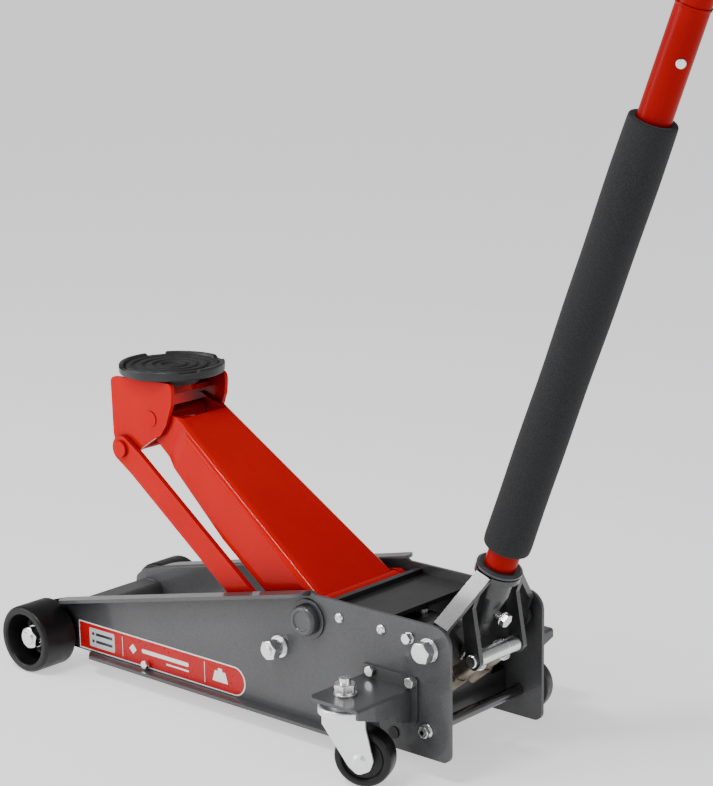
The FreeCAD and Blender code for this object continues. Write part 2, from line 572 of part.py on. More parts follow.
plug = fuse(cyl(5.0, 5.0, -185.0, 0.0, D.ram_z + D.reservoir_radius - 2.0, (0, 0, 1)),
            hexagon(12.0, 3.0, -185.0, 0.0, D.ram_z + D.reservoir_radius + 1.6, (0, 0, 1)))
plug_cut = cut(plug, cyl(D.reservoir_radius + 0.15, 70.0, -220.0, 0.0, D.ram_z, (1, 0, 0)))
node(plug_cut, "filler_plug")
spun("ram_rod", [[(0.0, -187.0), (D.piston_radius, -187.0), (D.piston_radius, -181.0), (D.ram_rod_radius, -180.6), (D.ram_rod_radius, -119.2), (8.0, -118.0), (0.0, -118.0)]],
     0.0, 0.0, D.ram_z, aim((1, 0, 0)))
# ram head: fork with an upright slot for the thrust pin, open at the top
psi = math.radians(-92.0)
TX = AX + D.thrust_reach.v * math.cos(psi)
TZ = AZ + D.thrust_reach.v * math.sin(psi)
b = body("ram_head_body")
pad(b, "XZ_Plane", 36.0, polys=[[(-118.0, 82.0), (TX + 18.0, 82.0), (TX + 18.0, 117.0), (TX + 8.7, 117.0), (TX + 8.7, TZ - 8.7), (TX - 8.7, TZ - 8.7),
                                 (TX - 8.7, 117.0), (-118.0, 117.0)]], symmetric=True)
round_edges(b, 3.0, along_y_at([(TX + 18.0, 82.0), (-118.0, 82.0), (TX + 18.0, 117.0)]))
pocket(b, "XZ_Plane", 15.0, polys=[[(TX - 19.0, 88.0), (TX + 24.0, 88.0), (TX + 24.0, 124.0), (TX - 19.0, 124.0)]], symmetric=True)
put(b)
node(b, "ram_head")

# ---------------------------------------------------------------- lift arm
# Inverted channel that widens from the saddle bracket to its pivot tube; local X runs along the arm.
L = D.arm_length.v
prof_out = [(-18.0, 9.0), (-4.0, 15.5), (D.arm_length - 32.9, 26.4), (D.arm_length - 6.0, 17.0), (D.arm_length + 12.0, 13.5), (D.arm_length + 18.0, 0.0),
            (D.arm_length + 12.0, -13.5), (296.0, -21.0), (240.0, -27.5), (157.0, -37.5), (77.0, -38.0), (20.0, -32.0), (-10.0, -19.0), (-20.0, -6.0)]
top_face = [(-4.0, 15.5), (D.arm_length - 32.9, 26.4), (D.arm_length - 32.9, 22.4), (-4.0, 11.5)]
plan = [(-20.0, 64.8), (262.0, 44.6), (277.0, 39.4), (D.arm_length + 20.0, 39.4)]
b = body("arm_plan")
pad(b, "XY_Plane", 140.0, polys=[[plan[0], (plan[0][0], -plan[0][1]), (plan[1][0], -plan[1][1]), (plan[2][0], -plan[2][1]), (plan[3][0], -plan[3][1]),
                                 plan[3], plan[2], plan[1]]], symmetric=True)
put(b, D.arm_x, 0.0, D.arm_z, ARM)
b2 = body("arm_plan_inner")
pad(b2, "XY_Plane", 150.0, polys=[[(plan[0][0] - 5.0, plan[0][1] - 3.7), (plan[0][0] - 5.0, 3.7 - plan[0][1]), (plan[1][0] - 0.8, 4.0 - plan[1][1]), (plan[2][0] - 1.0, 4.0 - plan[2][1]),
                                  (plan[3][0] + 5.0, 4.0 - plan[3][1]), (plan[3][0] + 5.0, plan[3][1] - 4.0), (plan[2][0] - 1.0, plan[2][1] - 4.0), (plan[1][0] - 0.8, plan[1][1] - 4.0)]], symmetric=True)
put(b2, D.arm_x, 0.0, D.arm_z, ARM)
side = body("arm_side")
pad(side, "XZ_Plane", 160.0, polys=[prof_out], symmetric=True)
round_edges(side, 8.0, along_y_at([(D.arm_length - 6.0, 17.0), (D.arm_length + 12.0, 13.5), (D.arm_length + 12.0, -13.5)]))
round_edges(side, 10.0, along_y_at([(-20.0, -6.0), (-10.0, -19.0)]))
put(side, D.arm_x, 0.0, D.arm_z, ARM)
hollow = body("arm_hollow")
pad(hollow, "XZ_Plane", 170.0, polys=[[(-40.0, -60.0), (-40.0, 40.0), (-4.0, 40.0), (-4.0, 11.5), (D.arm_length - 32.9, 22.4), (D.arm_length - 32.9, 40.0),
                                       (D.arm_length + 40.0, 40.0), (D.arm_length + 40.0, -60.0)]], symmetric=True)
put(hollow, D.arm_x, 0.0, D.arm_z, ARM)
outer = common(side, b)
doc.recompute()
fold = doc.addObject("Part::Fillet", "arm_fold")
fold.Base = outer
inv = Placement(Vector(AX + D.origin_x.v, 0, AZ), ARM).inverse()


def top_line(q):
    return 15.5 + (q.x + 4.0) * (26.4 - 15.5) / (L - 32.9 + 4.0)


edges = []
for i, e in enumerate(outer.Shape.Edges):
    marks = [inv.multVec(q) for q in (e.CenterOfMass, e.Vertexes[0].Point, e.Vertexes[-1].Point)]
    if all(abs(q.z - top_line(q)) < 0.2 and abs(q.y) > 30 for q in marks) and abs(marks[1].x - marks[2].x) > 100:
        edges.append((i + 1, 10.0, 10.0))
fold.Edges = edges
doc.recompute()
if "Invalid" in fold.State or fold.Shape.isNull() or not fold.Shape.isValid():
    raise RuntimeError("arm fold failed")
shell = cut(fold, common(b2, hollow))
tube = cyl(D.arm_tube_radius, 142.0, D.arm_x, -71.0, D.arm_z)
lug_a = math.degrees(psi)
lug = doc.addObject("Part::Box", "lug")
lug.Length, lug.Width, lug.Height = D.thrust_reach.v, 11.0, 18.0
put(lug, D.arm_x, -5.5, D.arm_z, Rotation(Vector(0, 1, 0), -lug_a))
lug.Placement = lug.Placement.multiply(Placement(Vector(0, 0, -9.0), Rotation()))
lug_shift = Placement(Vector(AX + D.origin_x.v, -5.5, AZ), Rotation(Vector(0, 1, 0), -lug_a)).multiply(Placement(Vector(0, 0, -9.0), Rotation()))
lug.setExpression("Placement.Base.x", None)
lug.Placement = lug_shift
boss = cyl(12.5, 11.0, TX, -5.5, TZ)
lever = cut(fuse(lug, boss), cyl(D.thrust_pin_radius + 0.1, 20.0, TX, -10.0, TZ))
shell = cut(shell, cyl(D.arm_tube_radius - 1.0, 160.0, D.arm_x, -80.0, D.arm_z))
shell = cut(shell, cyl(D.bracket_pin_radius + 0.1, 120.0, BX, -60.0, BZ))
arm = cut(fuse(tube, lever), cyl(D.arm_shaft_radius + D.running, 170.0, D.arm_x, -85.0, D.arm_z))
joined = doc.addObject("Part::Fuse", "arm_welded")
joined.Base, joined.Tool = shell, arm
arm = joined
node(arm, "lift_arm")
spun("arm_thrust_pin", [[(0.0, -17.5), (D.thrust_pin_radius, -17.5), (D.thrust_pin_radius, 17.5), (0.0, 17.5)]], TX, 0.0, TZ, aim((0, 1, 0)))
spun("saddle_bracket_pin", [[(0.0, -46.0), (D.bracket_pin_radius, -46.0), (D.bracket_pin_radius, 46.0), (0.0, 46.0)]], BX, 0.0, BZ, aim((0, 1, 0)))

# ---------------------------------------------------------------- saddle bracket
b = body("saddle_bracket_body")
ear = [(240.0, 351.5), (141.0, 355.5), (140.0, 345.0), (141.5, 330.0), (151.0, 306.0), (160.5, 293.0), (175.0, 285.5), (192.0, 274.0), (DX - 7.0, DZ - 13.0),
       (DX + 7.0, DZ - 13.0), (DX + 14.5, DZ - 2.0), (238.5, 284.0)]
for o in (-D.ear_y, D.ear_y - D.ear_thick):
    pad(b, "XZ_Plane", D.ear_thick, polys=[ear], offset=o)
round_edges(b, 7.0, along_y_at([(240.0, 351.5), (141.0, 355.5)]))
round_edges(b, 6.0, along_y_at([(DX - 7.0, DZ - 13.0), (DX + 7.0, DZ - 13.0), (192.0, 274.0), (151.0, 306.0), (160.5, 293.0)]))
pad(b, "XY_Plane", 6.0, polys=[[(168.0, -(D.ear_y - 1.0)), (238.0, -(D.ear_y - 1.0)), (238.0, D.ear_y - 1.0), (168.0, D.ear_y - 1.0)]], offset=334.0)
pad(b, "XY_Plane", 6.0, circles=[(D.saddle_x, 0.0, 26.0)], offset=339.0)
pocket(b, "XY_Plane", 60.0, circles=[(D.saddle_x, 0.0, 13.05)], offset=360.0)
pocket(b, "XZ_Plane", 200.0, circles=[(BX, BZ, D.bracket_pin_radius + D.running), (DX, DZ, 7.05)], symmetric=True)
# pressed-in dimple marks beside the pivot are left to the surface finish
put(b)
node(b, "saddle_bracket")

# saddle: dished steel cup with four notches in its rim, on a post that turns in the bracket boss
b = body("saddle_cup_body")
R, T = D.saddle_radius, D.saddle_top_z
revolve(b, [[(0.0, 335.0), (12.0, 335.0), (D.saddle_rim + 2.0, 336.0), (13.0, 345.3), (31.0, 345.3), (34.0, 356.0), (R - 3.0, 356.8), (R - 1.0, 358.0), (R, T - 2.5), (R - 1.2, T),
             (R - 5.5, T), (R - 7.0, T - 6.0), (0.0, T - 6.0)]])
doc.recompute()
notch = extrude(b, "Pocket", "XY_Plane", 3.4, polys=[[(R - 10.0, -11.0), (R + 4.0, -11.0), (R + 4.0, 11.0), (R - 10.0, 11.0)]], offset=T)
doc.recompute()
pp = b.newObject("PartDesign::PolarPattern", "notches")
pp.Originals = [notch]
pp.Axis = ([o for o in b.Origin.OriginFeatures if o.Role == "Z_Axis"][0], [""])
pp.Angle = 360.0
pp.Occurrences = 4
b.Tip = pp
put(b, D.saddle_x, 0.0, 0.0, Rotation(Vector(0, 0, 1), 20.0))
node(b, "saddle_cup")
pad_r = R - 7.8
spun("saddle_pad", [[(0.0, T - 5.9), (pad_r - 1.0, T - 5.9), (pad_r, T - 5.0), (pad_r, T - 3.2), (pad_r - 1.0, T - 2.4), (pad_r - 6.0, T - 2.4), (pad_r - 7.0, T - 4.4), (pad_r - 12.0, T - 4.4),
                     (pad_r - 13.0, T - 2.6), (pad_r - 20.0, T - 2.6), (pad_r - 21.0, T - 4.4), (pad_r - 27.0, T - 4.4), (pad_r - 28.0, T - 2.6), (pad_r - 35.0, T - 2.6), (pad_r - 36.0, T - 4.4), (0.0, T - 4.4)]],
     D.saddle_x, 0.0, 0.0)

# ---------------------------------------------------------------- parallel links
# Flat bars set over sideways: close to the bracket ears in front, close to the side plates at the rear.
for side_name, sgn in (("left", 1), ("right", -1)):
    half = D.link_half
    # side view: bar with round ends, local X along the bar from its chassis pivot
    elev = body("link_elevation_" + side_name)
    pad(elev, "XZ_Plane", 200.0, polys=[[(0.0, -half), (D.arm_length, -half), (D.arm_length, half), (0.0, half)]], symmetric=True)
    pad(elev, "XZ_Plane", 200.0, circles=[(0.0, 0.0, half)], symmetric=True)
    pad(elev, "XZ_Plane", 200.0, circles=[(D.arm_length, 0.0, half)], symmetric=True)
    put(elev, D.arm_x + D.link_dx, 0.0, D.arm_z + D.link_dz, ARM)
    # plan view: cranked strip
    t = D.link_thick
    rear_o, front_o = inner_y - 2.2, D.ear_y + 0.6 + t
    strip = [(-20.0, rear_o), (24.0, rear_o), (D.arm_length - 26.0, front_o), (D.arm_length + 20.0, front_o), (D.arm_length + 20.0, front_o - t), (D.arm_length - 26.5, front_o - t), (23.5, rear_o - t), (-20.0, rear_o - t)]
    pts = [(x, sgn * y) for x, y in strip]
    if sgn < 0:
        pts.reverse()
    pl = body("link_plan_" + side_name)
    pad(pl, "XY_Plane", 60.0, polys=[pts], symmetric=True)
    put(pl, D.arm_x + D.link_dx, 0.0, D.arm_z + D.link_dz, ARM)
    bar = common(elev, pl)
    bar = cut(bar, cyl(D.link_bolt_radius + D.running, 40.0, CX, sgn * 50.0, CZ, (0, sgn, 0)))
    bar = cut(bar, cyl(7.1, 40.0, DX, sgn * 30.0, DZ, (0, sgn, 0)))
    node(bar, "parallel_link_" + side_name)
spun("link_front_pin", [[(0.0, -55.6), (9.0, -55.6), (9.6, -54.8), (9.6, -52.0), (7.0, -52.0), (7.0, 52.0), (9.6, 52.0), (9.6, 54.8), (9.0, 55.6), (0.0, 55.6)]],
     DX, 0.0, DZ, aim((0, 1, 0)))
link_bolts = []
for sgn in (1, -1):
    link_bolts.append(fuse(cyl(D.link_bolt_radius, 35.6, CX, sgn * 65.0, CZ, (0, sgn, 0)),
                           cyl(10.0, 3.4, CX, sgn * 63.0, CZ, (0, sgn, 0))))
group("link_pivot_bolts", link_bolts)
yoke_bolts = []
for sgn in (1, -1):
    yoke_bolts.append(fuse(cyl(D.yoke_bolt_radius, 25.0, D.yoke_x, sgn * 62.0, D.yoke_z, (0, sgn, 0)),
                           cyl(8.5, 2.6, D.yoke_x, sgn * 62.6, D.yoke_z, (0, sgn, 0)),
                           cyl(12.5, 2.0, D.yoke_x, sgn * D.plate_y, D.yoke_z, (0, sgn, 0)),
                           cyl(10.0, 5.0, D.yoke_x, sgn * D.plate_y, D.yoke_z, (0, sgn, 0)),
                           hexagon(20.0, 11.0, D.yoke_x, sgn * (D.plate_y + 5.0), D.yoke_z, (0, sgn, 0), 10.0)))
group("yoke_pivot_bolts", yoke_bolts)

# shared M12 nuts: link pivots, tie rod, kingpins
m12 = []
for sgn in (1, -1):
    m12.append(cut(hexagon(19.0, 11.0, CX, sgn * (D.plate_y + 8.8), CZ, (0, sgn, 0), 14.0), cyl(6.1, 30.0, CX, sgn * (D.plate_y - 4.0), CZ, (0, sgn, 0))))
    m12.append(cut(fuse(hexagon(11.0, 6.0, D.tie_x, sgn * (D.plate_y + 1.2), D.tie_z, (0, sgn, 0), 5.0), cyl(7.2, 1.2, D.tie_x, sgn * (D.plate_y + 0.1), D.tie_z, (0, sgn, 0))),
                   cyl(3.1, 30.0, D.tie_x, sgn * (D.plate_y - 4.0), D.tie_z, (0, sgn, 0))))
    m12.append(cut(hexagon(21.0, 10.0, D.king_x, sgn * D.king_y, D.bracket_z + 2.6, (0, 0, 1), 18.0), cyl(6.1, 30.0, D.king_x, sgn * D.king_y, D.bracket_z - 4.0, (0, 0, 1))))
group("hex_nuts", m12)
washers = []
for sgn in (1, -1):
    washers.append(cut(fuse(cyl(12.0, 2.4, CX, sgn * (D.plate_y + 0.1), CZ, (0, sgn, 0)), cyl(9.3, 8.6, CX, sgn * (D.plate_y + 0.1), CZ, (0, sgn, 0))), cyl(6.1, 20.0, CX, sgn * (D.plate_y - 4.0), CZ, (0, sgn, 0))))
    washers.append(cut(cyl(12.4, 2.4, D.king_x, sgn * D.king_y, D.bracket_z + 0.1, (0, 0, 1)), cyl(6.1, 20.0, D.king_x, sgn * D.king_y, D.bracket_z - 4.0, (0, 0, 1))))
    washers.append(cut(cyl(22.0, 2.0, D.arm_x, sgn * (D.plate_y + 0.1), D.arm_z, (0, sgn, 0)), cyl(12.1, 20.0, D.arm_x, sgn * (D.plate_y - 4.0), D.arm_z, (0, sgn, 0))))
group("flat_washers", washers)

# ---------------------------------------------------------------- handle yoke (local Z along the handle, local Y across)
b = body("handle_yoke_body")
w = 72.3
yo = [(w, -6.0), (w, 27.0), (25.5, 77.0), (-25.5, 77.0), (-w, 27.0), (-w, -6.0), (-w + 6.0, -6.0), (-w + 6.0, 25.0), (-22.8, 71.0), (22.8, 71.0), (w - 6.0, 25.0), (w - 6.0, -6.0)]
pad(b, "YZ_Plane", 18.0, polys=[yo], symmetric=True)
pad(b, "XZ_Plane", 6.0, circles=[(0.0, 0.0, 15.0)], offset=-w)
pad(b, "XZ_Plane", 6.0, circles=[(0.0, 0.0, 15.0)], offset=w - 6.0)
pad(b, "XY_Plane", 6.0, circles=[(0.0, 0.0, D.rim_radius)], offset=71.0)
pocket(b, "XY_Plane", 60.0, circles=[(0.0, 0.0, D.socket_radius + D.running)], offset=100.0)
lugp = [(-9.0, 62.0), (9.0, 62.0), (9.0, 48.0), (D.roller_b + 10.5, D.roller_a + 2.0), (D.roller_b + 7.0, D.roller_a - 9.0), (D.roller_b - 7.0, D.roller_a - 9.0), (D.roller_b - 10.5, D.roller_a + 2.0), (-9.0, 44.0)]
for o in (-39.3, 33.3):
    pad(b, "XZ_Plane", 6.0, polys=[lugp], offset=o)
round_edges(b, 5.0, along_y_at([(D.roller_b + 7.0, D.roller_a - 9.0), (D.roller_b - 7.0, D.roller_a - 9.0), (D.roller_b - 10.5, D.roller_a + 2.0), (D.roller_b + 10.5, D.roller_a + 2.0)]))
pocket(b, "XZ_Plane", 200.0, circles=[(0.0, 0.0, D.yoke_bolt_radius + D.running)], symmetric=True)
pocket(b, "XZ_Plane", 90.0, circles=[(D.roller_b, D.roller_a, D.roller_pin_radius + 0.05)], symmetric=True)
put(b, D.yoke_x, 0.0, D.yoke_z, LEAN)
node(b, "handle_yoke")


def handle_point(bx, y, a):
    v = LEAN.multVec(Vector(bx, y, a))
    return D.yoke_x.v + v.x, v.y, D.yoke_z.v + v.z


rx, ry, rz = handle_point(D.roller_b.v, 0.0, D.roller_a.v)
spun("roller_pin", [[(0.0, -41.0), (5.0, -41.0), (5.0, 39.5), (7.0, 39.5), (7.0, 41.3), (6.0, 42.3), (0.0, 42.3)]], rx, 0.0, rz, aim((0, 1, 0)))
spun("pump_roller", [[(5.05, -32.8), (D.roller_radius - 0.8, -32.8), (D.roller_radius, -32.0), (D.roller_radius, -14.0), (D.roller_radius - 0.7, -13.3), (D.roller_radius, -12.6), (D.roller_radius, 32.0),
                     (D.roller_radius - 0.8, 32.8), (5.05, 32.8)]], rx, 0.0, rz, aim((0, 1, 0)))

# socket: turns in the yoke ring; its foot is a cup over the release spindle's ball
S = D.socket_radius
b = body("handle_socket_body")
revolve(b, [[(0.0, 20.0), (0.0, 46.0), (15.0, 50.0), (D.tube_radius + 0.15, 50.0), (D.tube_radius + 0.15, 83.0), (D.rim_radius - 3.0, 83.0), (D.rim_radius, 81.0), (D.rim_radius, 78.6), (D.rim_radius - 1.5, 77.2),
             (S, 77.2), (S, 50.0), (12.5, 22.0), (11.5, 16.0), (11.5, 0.5), (4.0, 0.5), (4.0, 20.0)]])
put(b, D.yoke_x, 0.0, D.yoke_z, LEAN)
ball_space = doc.addObject("Part::Sphere", "ball_space")
ball_space.Radius = D.ball_radius.v + 0.5
ball_space.setExpression("Radius", (D.ball_radius + 0.5).e)
put(ball_space, D.yoke_x, 0.0, D.yoke_z)
hx, hy, hz = handle_point(-5.0, 0.0, 30.0)
back = LEAN.multVec(Vector(-1, 0, 0))
sock = cut(cut(b, ball_space), cyl(4.1, 30.0, hx, hy, hz, (back.x, back.y, back.z)))
node(sock, "handle_socket")
screw = []
sx, sy, sz = handle_point(-8.0, 0.0, 30.0)
kx, ky, kz = handle_point(-23.0, 0.0, 30.0)
socket_screw = fuse(cyl(4.0, 16.0, sx, sy, sz, (back.x, back.y, back.z)), hexagon(13.0, 7.0, kx, ky, kz, (back.x, back.y, back.z), 15.0),
                    cyl(7.5, 1.2, kx, ky, kz, (back.x, back.y, back.z)))
node(socket_screw, "socket_screw")

# release spindle: ball, shank and the screw end in the pump block
sp = cyl(4.0, 48.0, D.yoke_x + 4.0 * VD.x, 0.0, D.yoke_z + 4.0 * VD.z, (VD.x, VD.y, VD.z))
ball = doc.addObject("Part::Sphere", "ball")
bind(ball, "Radius", D.ball_radius)
put(ball, D.yoke_x, 0.0, D.yoke_z)
node(fuse(ball, sp), "release_spindle")

# plungers with their spring caps
plungers = []
for y in (1, -1):
    p0x, p0z = on_plunger(2.4)
    p1x, p1z = on_plunger(5.8)
    cup = cut(cyl(9.0, 29.6, p0x, y * D.plunger_y, p0z, PD), cyl(8.2, 40.0, p1x, y * D.plunger_y, p1z, PD))
    plungers.append(fuse(cyl(11.5, 3.4, p0x, y * D.plunger_y, p0z, PD), cup, cyl(D.plunger_radius, 36.8, p0x, y * D.plunger_y, p0z, PD)))
group("pump_plungers", plungers)
springs = []
for y in (1, -1):
    # coil centreline: radius 7.2, five and a half turns over 48
    turns, per, rise = 5.5, 12, 48.0
    path = [Vector(7.2 * math.cos(2 * math.pi * i / per), 7.2 * math.sin(2 * math.pi * i / per), rise * i / (turns * per)) for i in range(int(turns * per) + 1)]
    curve = Part.BSplineCurve()
    curve.interpolate(path)
    sec = Part.Wire([Part.Edge(Part.Circle(path[0], curve.tangent(curve.FirstParameter)[0], 0.7))])
    sh = Part.Wire([curve.toShape()]).makePipeShell([sec], True, True)
    o = doc.addObject("Part::Feature", "plunger_spring")
    o.Shape = sh
    cx, cz = on_plunger(6.6)
    o.Placement = Placement(Vector(cx + D.origin_x.v, y * D.plunger_y.v, cz), aim(PD))
    springs.append(o)
group("plunger_springs", springs)

# ---------------------------------------------------------------- handle
tr, tw = D.tube_radius, D.tube_wall
low = body("handle_lower_tube_body")
revolve(low, [[(tr - tw, D.tube_start), (tr, D.tube_start), (tr, D.tube_joint - 3.0), (tr + 0.9, D.tube_joint - 2.0), (tr + 0.9, D.tube_joint), (tr - tw, D.tube_joint)]])
put(low, D.yoke_x, 0.0, D.yoke_z, LEAN)
BUTTON = 142.0
bd = LEAN.multVec(Vector(math.cos(math.radians(BUTTON)), math.sin(math.radians(BUTTON)), 0))
ox, oy, oz = handle_point(0.0, 0.0, D.button_at.v)
node(cut(low, cyl(D.button_radius + 0.25, 30.0, ox, oy, oz, (bd.x, bd.y, bd.z))), "handle_lower_tube")
spun("foam_sleeve", [[(tr + 0.1, D.foam_start), (D.foam_radius - 3.0, D.foam_start), (D.foam_radius, D.foam_start + 3.0), (D.foam_radius, D.foam_end - 2.0), (D.foam_radius - 2.0, D.foam_end), (tr + 0.1, D.foam_end)]],
     D.yoke_x, 0.0, D.yoke_z, LEAN)
up = body("handle_upper_tube_body")
si = tr - tw - 0.2
revolve(up, [[(si - tw, D.tube_joint - 90.0), (si, D.tube_joint - 90.0), (si, D.tube_joint + 0.3), (tr, D.tube_joint + 0.3), (tr, D.tube_end), (0.0, D.tube_end), (0.0, D.tube_end - 3.0), (si - tw, D.tube_end - 3.0)]])
put(up, D.yoke_x, 0.0, D.yoke_z, LEAN)
node(cut(up, cyl(D.button_radius + 0.25, 30.0, ox, oy, oz, (bd.x, bd.y, bd.z))), "handle_upper_tube")
gs = D.tube_end - 130.0
spun("handle_grip", [[(tr + 0.1, gs), (tr + 4.5, gs), (tr + 5.5, gs + 4.0), (tr + 3.8, gs + 9.0), (tr + 3.8, D.tube_end - 6.0), (tr + 3.0, D.tube_end + 2.0), (tr - 2.0, D.tube_end + 4.5), (0.0, D.tube_end + 4.5), (0.0, D.tube_end + 0.3), (tr + 0.1, D.tube_end + 0.3)]],
     D.yoke_x, 0.0, D.yoke_z, LEAN)
bb0 = Vector(ox, oy, oz) + bd * (tr.v - 9.0)
btn = cyl(D.button_radius, 11.0, bb0.x, bb0.y, bb0.z, (bd.x, bd.y, bd.z))
doc.recompute()
dome = doc.addObject("Part::Fillet", "button_dome")
dome.Base = btn
tip = Vector(ox + D.origin_x.v, oy, oz) + bd * (tr.v + 2.0)
dome.Edges = [(i + 1, 1.6, 1.6) for i, e in enumerate(btn.Shape.Edges) if (e.CenterOfMass - tip).Length < 0.5]
node(dome, "spring_button")

# ---------------------------------------------------------------- label strips on the plates' outer faces
strips = []
for sgn in (1, -1):
    b = body("label_strip_" + ("left" if sgn > 0 else "right"))
    z0, z1 = 26.0, 60.0
    off = -(D.plate_y + 0.75) if sgn > 0 else D.plate_y + 0.05
    pad(b, "XZ_Plane", 0.7, polys=[[(20.0, z0), (275.0, z0), (275.0, z1), (20.0, z1)]], offset=off)
    pad(b, "XZ_Plane", 0.7, circles=[(20.0, (z0 + z1) / 2.0, (z1 - z0) / 2.0)], offset=off)
    pocket(b, "XZ_Plane", 300.0, circles=[(159.7, 31.2, 3.2)], symmetric=True)
    put(b)
    strips.append(b)
group("label_plates", strips)

# ---------------------------------------------------------------- checks and export
doc.recompute()
bad = [o.Name + " " + str(o.State) for o in doc.Objects if "Invalid" in o.State or "Error" in o.State]
for label, obj in NODES:
    if obj.Shape.isNull() or not obj.Shape.isValid() or not obj.Shape.Solids:
        bad.append(label + " has no valid solid")
if bad:
    raise RuntimeError("; ".join(bad))
if len(NODES) > 60 or len({n for n, _ in NODES}) != len(NODES):
    raise RuntimeError("node list is wrong: %d" % len(NODES))
for label, obj in NODES:
    obj.Shape.exportStep("parts/%s.step" % label)
whole = FreeCAD.BoundBox()
for label, obj in NODES:
    whole.add(obj.Shape.BoundBox)
print("nodes", len(NODES))
print("box", [round(v, 2) for v in (whole.XMin, whole.XMax, whole.YMin, whole.YMax, whole.ZMin, whole.ZMax)])
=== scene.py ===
import bpy, bmesh, math, random
from mathutils import Vector, Matrix, Quaternion


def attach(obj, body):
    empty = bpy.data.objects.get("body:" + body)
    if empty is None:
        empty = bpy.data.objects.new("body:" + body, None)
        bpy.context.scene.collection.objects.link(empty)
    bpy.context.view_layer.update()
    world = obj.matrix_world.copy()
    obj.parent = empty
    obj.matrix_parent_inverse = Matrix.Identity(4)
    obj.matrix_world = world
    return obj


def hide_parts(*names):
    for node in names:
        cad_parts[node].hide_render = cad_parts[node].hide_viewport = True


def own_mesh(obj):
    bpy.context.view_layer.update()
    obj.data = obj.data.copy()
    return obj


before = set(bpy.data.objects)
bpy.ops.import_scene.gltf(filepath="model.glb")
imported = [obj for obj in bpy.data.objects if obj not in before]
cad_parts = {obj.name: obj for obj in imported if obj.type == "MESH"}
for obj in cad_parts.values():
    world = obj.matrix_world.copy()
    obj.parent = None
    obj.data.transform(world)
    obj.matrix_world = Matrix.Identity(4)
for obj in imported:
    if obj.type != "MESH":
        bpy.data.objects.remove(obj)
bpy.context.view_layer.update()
random.seed(11)
OX = 182.08                     # chassis X to frame X, mm
ZUP = Vector((0, 0, 1))


def P(x, y, z):
    """Chassis millimetres to frame metres."""
    return Vector(((x + OX) / 1000.0, y / 1000.0, z / 1000.0))


# ------------------------------------------------------------------ camera
cam_data = bpy.data.cameras.new("camera")
cam = bpy.data.objects.new("camera", cam_data)
bpy.context.collection.objects.link(cam)
bpy.context.scene.camera = cam
F = Vector((0.64038, -0.72628, -0.24985)).normalized()
right = F.cross(ZUP).normalized()
up = right.cross(F)
roll = math.radians(-0.8224)
R2 = right * math.cos(roll) + up * math.sin(roll)
U2 = -right * math.sin(roll) + up * math.cos(roll)
m = Matrix((R2, U2, -F)).transposed().to_4x4()
m.translation = P(-1610.88, 1704.54, 899.25)
cam.matrix_world = m
cam_data.sensor_width = 36.0
cam_data.lens = 2211.909 * 36.0 / 786.0
cam_data.shift_x = -0.01179
cam_data.shift_y = 0.06973
cam_data.clip_end = 200.0
cam_data.dof.use_dof = False

# ------------------------------------------------------------------ stage: floor, world, lights
floor_mesh = bpy.data.meshes.new("floor")
floor_mesh.from_pydata([(-45, -45, 0), (45, -45, 0), (45, 45, 0), (-45, 45, 0)], [], [(0, 1, 2, 3)])
floor = bpy.data.objects.new("floor", floor_mesh)
floor.location.z = -0.0005
bpy.context.collection.objects.link(floor)

world = bpy.data.worlds.new("studio")
bpy.context.scene.world = world
world.use_nodes = True
wn, wl = world.node_tree.nodes, world.node_tree.links
wn.clear()
wo = wn.new("ShaderNodeOutputWorld")
bg = wn.new("ShaderNodeBackground")
tc = wn.new("ShaderNodeTexCoord")
sep = wn.new("ShaderNodeSeparateXYZ")
wl.new(tc.outputs["Generated"], sep.inputs[0])
# bright towards the horizon on the near side, darker overhead and on the far side
up_r = wn.new("ShaderNodeMapRange")
up_r.inputs["From Min"].default_value, up_r.inputs["From Max"].default_value = 0.0, 0.9
up_r.inputs["To Min"].default_value, up_r.inputs["To Max"].default_value = 1.0, 0.42
wl.new(sep.outputs["Z"], up_r.inputs["Value"])
far_r = wn.new("ShaderNodeMapRange")
far_r.inputs["From Min"].default_value, far_r.inputs["From Max"].default_value = -0.9, 0.4
far_r.inputs["To Min"].default_value, far_r.inputs["To Max"].default_value = 0.5, 1.0
wl.new(sep.outputs["Y"], far_r.inputs["Value"])
mul = wn.new("ShaderNodeMath")
mul.operation = "MULTIPLY"
wl.new(up_r.outputs[0], mul.inputs[0])
wl.new(far_r.outputs[0], mul.inputs[1])
tint = wn.new("ShaderNodeCombineColor")
for k in range(3):
    wl.new(mul.outputs[0], tint.inputs[k])
wl.new(tint.outputs[0], bg.inputs["Color"])
bg.inputs["Strength"].default_value = 0.9
wl.new(bg.outputs[0], wo.inputs[0])


def area(name, loc, target, size, power, size_y=None, color=(1, 1, 1)):
    d = bpy.data.lights.new(name, "AREA")
    d.energy = power
    d.color = color
    d.size = size
    if size_y:
        d.shape, d.size_y = "RECTANGLE", size_y
    o = bpy.data.objects.new(name, d)
    bpy.context.collection.objects.link(o)
    o.location = loc
    o.rotation_euler = (Vector(target) - Vector(loc)).to_track_quat("-Z", "Y").to_euler()
    return o


area("key", (2.3, 2.2, 1.5), (0.0, 0.0, 0.25), 1.8, 55)
area("streak", (0.1, 1.33, 2.28), (0.18, 0.04, 0.3), 0.62, 21, 0.2)
area("top", (0.47, 1.25, 2.17), (0.0, 0.0, 0.22), 1.0, 9, 0.5)
area("rear_soft", (-2.4, 0.2, 1.3), (-0.2, 0.0, 0.3), 1.0, 9)

# ------------------------------------------------------------------ materials


